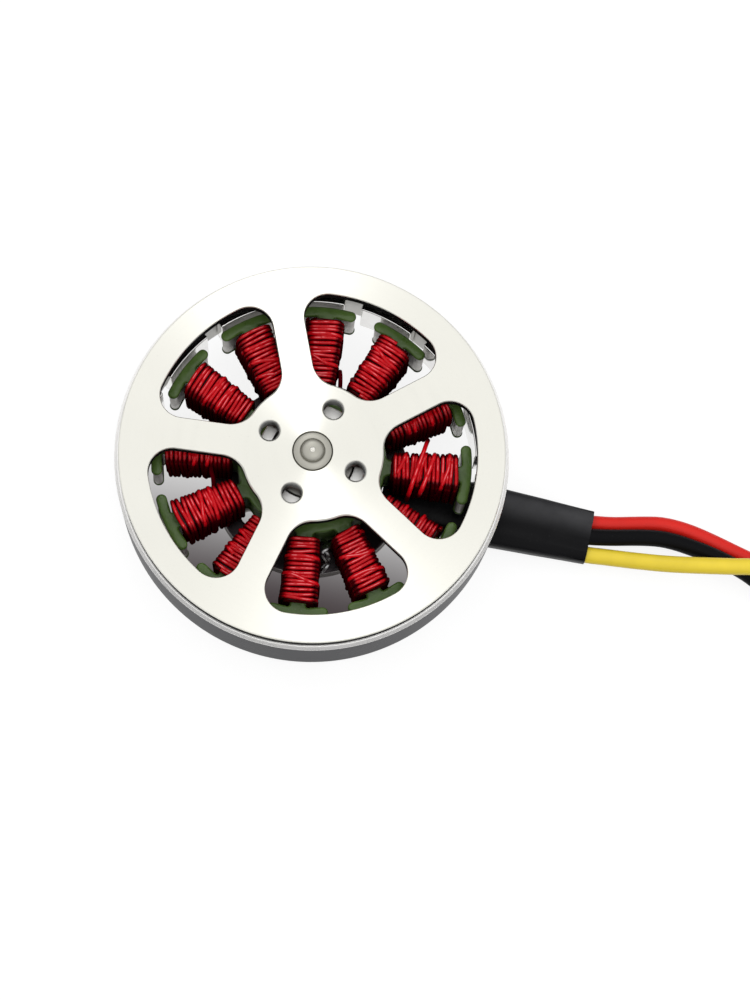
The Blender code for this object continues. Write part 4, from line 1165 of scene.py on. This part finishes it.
def coil_surface(seed):
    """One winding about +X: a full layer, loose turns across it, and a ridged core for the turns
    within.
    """
    sizes = bpy.context.scene.motor_sizes
    wire = sizes.wire
    first, last = COIL_INNER + wire / 2, COIL_OUTER - wire / 2
    chance = np.random.default_rng(seed)
    parts = [strand(first, last, sizes.turns, 0.0, sizes.unevenness * wire, seed,
                    chance.uniform(0, math.tau))]
    lean = chance.uniform(0.05, 0.3)
    parts.append(strand(last - lean * (last - first), first + lean * (last - first),
                        sizes.loose_turns, 0.9 * wire, 0.6 * wire, seed + 100,
                        chance.uniform(0, math.tau)))
    share = np.linspace(0, 1, 2 * sizes.turns + 1)
    angle = np.linspace(0, math.tau, 40, endpoint=False)
    depth = np.where(np.arange(len(share)) % 2, 0.34 * MM, 0.44 * MM)
    y, z = coil_section(share[:, None], angle[None], -depth[:, None])[:2]
    along = (COIL_INNER + WIRE_SINK) + share * (COIL_OUTER - COIL_INNER - 2 * WIRE_SINK)
    core = np.stack([np.repeat(along[:, None], len(angle), axis=1), y, z], axis=-1)
    return joined([*parts, capped(core)])


def crest_of(points):
    """How far a point of a winding about +X stands out, in wires: 1 on the outer turns' crests.

    It is 1 more than the distance past the winding's rectangle, which widens towards the tip.
    """
    x, y, z = points.T
    width, height = coil_sizes((x - COIL_INNER) / (COIL_OUTER - COIL_INNER))
    past = np.maximum(np.abs(y) - width, np.abs(z - STACK_MIDDLE) - height) + WIRE_SINK
    return 1 + past / bpy.context.scene.motor_sizes.wire


class MOTOR_OT_windings(bpy.types.Operator):
    """Winds each tooth with enamelled wire"""

    bl_idname = "motor.windings"
    bl_label = "Windings"

    def execute(self, context):
        for number in range(TOOTH_COUNT):
            node = f"coil_{number + 1:02d}"
            turn = TOOTH_ANGLE + 360 * number / TOOTH_COUNT
            surface = coil_surface(number)
            crest = crest_of(surface[0])
            stray = wires([route for winding, route in STRAY_WIRES if winding == number + 1],
                          context.scene.motor_sizes.wire / 2, 0.3 * MM)
            surface = joined([placed(surface, turn), *stray])
            coil = add_piece(f"{node}_wire", surface, "red_enamel", "stator", node,
                             sharp=75)
            # The crest attribute places the enamel's painted shade in the grooves, and facing, the
            # size of the normal's vertical part, places its painted gleams.
            normals = np.empty(3 * len(coil.data.vertices), np.float32)
            coil.data.vertex_normals.foreach_get("vector", normals)
            outward = np.ones(len(coil.data.vertices), np.float32)
            outward[:len(crest)] = crest
            for label, values in (("crest", outward), ("facing", np.abs(normals[2::3]))):
                layer = coil.data.attributes.new(label, "FLOAT", "POINT")
                layer.data.foreach_set("value", np.ascontiguousarray(values))
        joint = joined(wires(JOINT_WIRES, 0.32 * MM, 0.2 * MM))
        add_piece("winding_joint", joint, "solder", "stator")
        return {"FINISHED"}


# Leads and what is on them


def sleeve_surface():
    """The shrink sleeve along +X, as rings that are rounded rectangles.

    A ring is w sign(cos a) |cos a|^p across and h sign(sin a) |sin a|^p high. Its half width w
    and half height h swell and narrow along the sleeve, it is creased by sines and a smooth
    random line, and towards the mouth a cosine pinches it in between the leads.
    """
    rows, sides, squareness = 90, 96, 0.62
    pinch_depth, crease_depth = 0.3 * MM, 0.035 * MM
    share = np.linspace(0, 1, rows)[:, None]
    angle = np.linspace(0, math.tau, sides, endpoint=False)[None]
    middle = (SLEEVE_HIGH + SLEEVE_LOW) / 2
    end_width = LEAD_PITCH + LEAD_RADIUS + 0.2 * MM
    swell = np.interp(share, [0, 0.1, 0.35, 0.55, 0.75, 0.9, 1],
                      [0.35, 0.6, 0.95, 1.0, 0.6, 0.2, 0.0])
    width = end_width + swell * (SLEEVE_HALF_WIDTH - end_width)
    height = (SLEEVE_HIGH - SLEEVE_LOW) / 2 - 0.2 * MM * (1 - swell)
    cosine, sine = np.cos(angle), np.sin(angle)
    y = width * np.sign(cosine) * np.abs(cosine) ** squareness
    lobe = 0.5 - 0.5 * np.cos(math.tau * (y / LEAD_PITCH))
    grip = np.clip((share - 0.72) / 0.28, 0, 1) ** 1.5
    pinch = pinch_depth * grip * lobe * (np.abs(y) < 1.5 * LEAD_PITCH)
    crease = crease_depth * (wander(rows, 9, 5)[:, None] + np.sin(5 * angle + 9 * share))
    half_height = height - pinch + 0.6 * crease
    z = middle + half_height * np.sign(sine) * np.abs(sine) ** squareness
    x = SLEEVE_START + share * (SLEEVE_END - SLEEVE_START)
    outside = np.stack(np.broadcast_arrays(x, y, z), axis=-1)
    centre = np.array([0, 0, middle])
    rim = outside[-1] - centre
    mouth = [rim * [1, 0.955, 0.87] + centre, rim * [1, 0.93, 0.8] + centre - [2 * MM, 0, 0]]
    return capped(np.concatenate([outside, mouth]))


class MOTOR_OT_sleeve(bpy.types.Operator):
    """Makes the shrink sleeve over the joints of the windings and the leads"""

    bl_idname = "motor.sleeve"
    bl_label = "Lead Sleeve"

    def execute(self, context):
        dress("lead_sleeve", sleeve_surface(), "shrink_sleeve", "stator")
        return {"FINISHED"}


def lead_line(colour):
    """A lead's middle line in metres."""
    end_x, end_y = LEAD_ENDS[colour]
    run = [(end_x + step, end_y, height) for step, height in PLUG_RUN]
    route = np.array([*LEAD_ROUTES[colour], *run])
    height = LEAD_RADIUS * (1 + 2 * route[:, 2])
    line = smooth_line(np.column_stack([route[:, :2] * MM, height]), 0.8 * MM)
    line[:, 2] = np.maximum(line[:, 2], LEAD_RADIUS)
    return line


def bullet_surface():
    """A bullet plug along +Z: a solder cup, a waist, and a pin with bowed spring leaves.

    The leaves are strips between even slots, each bowed outwards by half a sine wave.
    """
    bowl, waist, edge, leaf_wall = 0.35 * MM, 0.3 * MM, 0.15 * MM, 0.12 * MM
    start = CUP_LENGTH + waist
    cup = [(CUP_RADIUS - bowl, 0), (CUP_RADIUS, 0.05 * MM), (CUP_RADIUS, CUP_LENGTH - edge),
           (CUP_RADIUS - edge, CUP_LENGTH), (PIN_RADIUS - waist, CUP_LENGTH)]
    pin_foot = np.array([(-0.3, 0), (-0.12, 0.1), (-0.12, 0.9), (-0.4, 1)]) * MM
    pin_end = np.array([(-0.4, -1.7), (-0.12, -1.6), (-0.16, -1), (-0.45, -0.35), (-0.9, 0)]) * MM
    core = [*cup, *((PIN_RADIUS, start) + pin_foot), *((PIN_RADIUS, start + PIN_LENGTH) + pin_end)]
    share = np.linspace(0, 1, 25)
    span = start + 0.8 * MM + share * (PIN_LENGTH - 2.3 * MM)
    bow = PIN_RADIUS - 0.16 * MM + 0.16 * MM * np.sin(math.pi * share)
    across = np.linspace(-0.27, 0.27, 7)
    outer = polar(bow[:, None], across, span[:, None])
    inner = polar(bow[:, None] - leaf_wall, across, span[:, None])
    leaf = capped(np.concatenate([outer, inner[:, ::-1]], axis=1))
    return joined([turned(core, 64, solid=True), *repeated(leaf, LEAF_COUNT)])


class MOTOR_OT_leads(bpy.types.Operator):
    """Lays the three leads and puts a bullet plug and a shrink tube on each"""

    bl_idname = "motor.leads"
    bl_label = "Leads"

    def execute(self, context):
        for colour in LEAD_ROUTES:
            line = lead_line(colour)
            surface = tube(line, (0, 0, 1), LEAD_RADIUS, sides=20)
            lead = add_piece(f"lead_{colour}_silicone", surface, f"{colour}_silicone", "stator",
                             f"lead_{colour}")
            bullet, tube_piece = self.make_plug(colour)
        return {"FINISHED"}

    def make_plug(self, colour):
        """The plug and the shrink tube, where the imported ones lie.

        The tube's radius rises from the lead to the cup by a logistic curve of its length.
        """
        first, last = np.array(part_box(f"bullet_{colour}"))
        place = np.array([first[0], *(first + last)[1:] / 2])
        bullet = add_piece(f"bullet_{colour}_plug", along_x(bullet_surface(), place),
                           "gold_plate", "stator", f"bullet_{colour}")
        first, last = np.array(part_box(f"shrink_{colour}"))
        grip, over = first[0] - place[0], (last[1] - first[1]) / 2
        slack = 0.05 * MM
        wall, lead, cup = 0.35 * MM, LEAD_RADIUS + slack, CUP_RADIUS + slack
        reach = np.linspace(0, 1, 30)
        rise = 1 / (1 + np.exp(-14 * (reach - 0.45)))
        outer = lead + wall + rise * (over - lead - wall) + 0.02 * MM * wander(30, 5, 3)
        outer = np.minimum(outer, over)
        height = grip + reach * (last[0] - first[0])
        profile = [*zip(outer, height), (cup, height[-1]), (cup, height[-1] - MM),
                   (lead, height[0] + MM), (lead, height[0])]
        tube_piece = add_piece(f"shrink_{colour}_tube", along_x(turned(profile, 64), place),
                               "shrink_sleeve", "stator", f"shrink_{colour}")
        return bullet, tube_piece


# Stage


def camera_axes():
    """Forward, right and up of the camera as unit vectors in the frame."""
    azimuth, tilt, roll = np.radians([CAMERA_AZIMUTH, CAMERA_TILT, CAMERA_ROLL])
    forward = np.array([math.cos(azimuth) * math.cos(tilt), math.sin(azimuth) * math.cos(tilt),
                        -math.sin(tilt)])
    level = np.array([math.sin(azimuth), -math.cos(azimuth), 0.0])
    above = np.cross(level, forward)
    right = math.cos(roll) * level + math.sin(roll) * above
    return forward, right, -math.sin(roll) * level + math.cos(roll) * above


def standing(side, above, back, place):
    """A matrix from three axes and a place."""
    columns = np.column_stack([side, above, back, place])
    return Matrix([*columns.tolist(), [0, 0, 0, 1]])


class MOTOR_OT_stage(bpy.types.Operator):
    """Sets the table, the soft light and the camera"""

    bl_idname = "motor.stage"
    bl_label = "Stage"

    def execute(self, context):
        self.make_camera(context.scene)
        self.make_table()
        self.make_light(context.scene)
        context.scene.view_settings.view_transform = "Standard"
        return {"FINISHED"}

    def make_camera(self, scene):
        """The camera, by its angles, its distance from a point and a shift across its view."""
        forward, right, above = camera_axes()
        eye = (np.array(CAMERA_AIM) - forward * CAMERA_DISTANCE + right * CAMERA_SHIFT[0]
               + above * CAMERA_SHIFT[1])
        data = bpy.data.cameras.new("camera")
        data.sensor_fit = "VERTICAL"
        data.sensor_height = 24.0
        data.lens = data.sensor_height * FOCAL_PIXELS / IMAGE_HEIGHT_PIXELS
        data.clip_start = 0.01
        data.clip_end = 20.0
        camera = add_object("camera", data)
        camera.matrix_world = standing(right, above, -forward, eye)
        scene.camera = camera

    def make_table(self):
        """A white table that glows where it is seen, with painted shade under the motor in both
        its colour and its glow.
        """
        half = 1.5
        corners = np.array([[[-half, -half, 0], [half, -half, 0]],
                            [[-half, half, 0], [half, half, 0]]])
        mesh = mesh_of("table", grid_surface(corners))
        tree, shader = new_finish("table_top", roughness=0.8, emission_strength=1.0)
        grain = use_group(tree, "Grain", pitch=4.0)
        pale = tinted(tree, grain["Height"], (0.2, 0.2, 0.2), (0.22, 0.22, 0.22))
        # Painted shade under the motor: within 21 to 24.5 mm of the axis the table darkens towards
        # -Y, in its colour and in its glow.
        lit = smooth_step(tree, coordinate(tree, "Y"), -18 * MM, 7.5 * MM)
        place = add_node(tree, "TexCoord").outputs["Object"]
        away = add_node(tree, "VectorMath", {0: place}, operation="LENGTH").outputs[1]
        clear = math_node(tree, "MAXIMUM", lit, smooth_step(tree, away, 21 * MM, 24.5 * MM))
        tone = tinted(tree, clear, (0.03, 0.03, 0.03), pale)
        tree.links.new(tone, shader.inputs["Base Color"])
        shade, white = (0.055, 0.042, 0.045), (0.85, 0.85, 0.85)
        rays = add_node(tree, "LightPath").outputs
        bounced = math_node(tree, "MAXIMUM", rays["Is Glossy Ray"], rays["Is Transmission Ray"])
        seen = math_node(tree, "MAXIMUM", rays["Is Camera Ray"], bounced)
        glow = tinted(tree, seen, (0.0, 0.0, 0.0), tinted(tree, clear, shade, white))
        tree.links.new(glow, shader.inputs["Emission Color"])
        mesh.materials.append(bpy.data.materials["table_top_finish"])
        add_object("table", mesh)

    def make_light(self, scene):
        """A pale sky that darkens towards its horizon, and two square lamps."""
        world = bpy.data.worlds.new("studio")
        world.use_nodes = True
        tree = world.node_tree
        way = add_node(tree, "TexCoord").outputs["Generated"]
        height = add_node(tree, "SeparateXYZ", {0: way}).outputs["Z"]
        horizon, sky = (0.12, 0.12, 0.125), (1.0, 1.0, 1.0)
        tone = tinted(tree, smooth_step(tree, height, 0.05, 0.55), horizon, sky)
        tree.links.new(tone, tree.nodes["Background"].inputs["Color"])
        scene.world = world
        for name, place, size, power in (
                ("key_light", (-0.135, 0.452, 0.85), 0.2, 0.36),
                ("fill_light", (0.092, -0.03, 0.96), 0.2, 0.25)):
            data = bpy.data.lights.new(name, "AREA")
            data.shape = "SQUARE"
            data.size = size
            data.energy = power
            lamp = add_object(name, data)
            toward = -np.array(place) / np.linalg.norm(place)
            side = np.cross(toward, (0, 0, 1))
            side /= np.linalg.norm(side)
            lamp.matrix_world = standing(side, np.cross(side, toward), -toward, place)


OPERATORS = (
    MOTOR_OT_stage, MOTOR_OT_bell_cap, MOTOR_OT_flux_ring, MOTOR_OT_magnets, MOTOR_OT_shaft,
    MOTOR_OT_bearings, MOTOR_OT_base, MOTOR_OT_stator_stack, MOTOR_OT_windings,
    MOTOR_OT_sleeve, MOTOR_OT_leads)


class MOTOR_PT_pieces(bpy.types.Panel):
    """Lists the sizes, the colours and the pieces"""

    bl_label = "Motor"
    bl_idname = "MOTOR_PT_pieces"
    bl_space_type = "VIEW_3D"
    bl_region_type = "UI"
    bl_category = "Motor"

    def draw(self, context):
        for group in (context.scene.motor_sizes, context.scene.motor_colours):
            column = self.layout.column()
            for key in group.__annotations__:
                column.prop(group, key)
        column = self.layout.column()
        for operator in OPERATORS:
            column.operator(operator.bl_idname)


CLASSES = (MotorSizes, MotorColours, *OPERATORS, MOTOR_PT_pieces)


def register():
    for item in CLASSES:
        bpy.utils.register_class(item)
    bpy.types.Scene.motor_sizes = PointerProperty(type=MotorSizes)
    bpy.types.Scene.motor_colours = PointerProperty(type=MotorColours)


def unregister():
    del bpy.types.Scene.motor_colours
    del bpy.types.Scene.motor_sizes
    for item in reversed(CLASSES):
        bpy.utils.unregister_class(item)


def main():
    register()
    for operator in OPERATORS:
        group, name = operator.bl_idname.split(".")
        getattr(getattr(bpy.ops, group), name)()


if __name__ == "__main__":
    main()
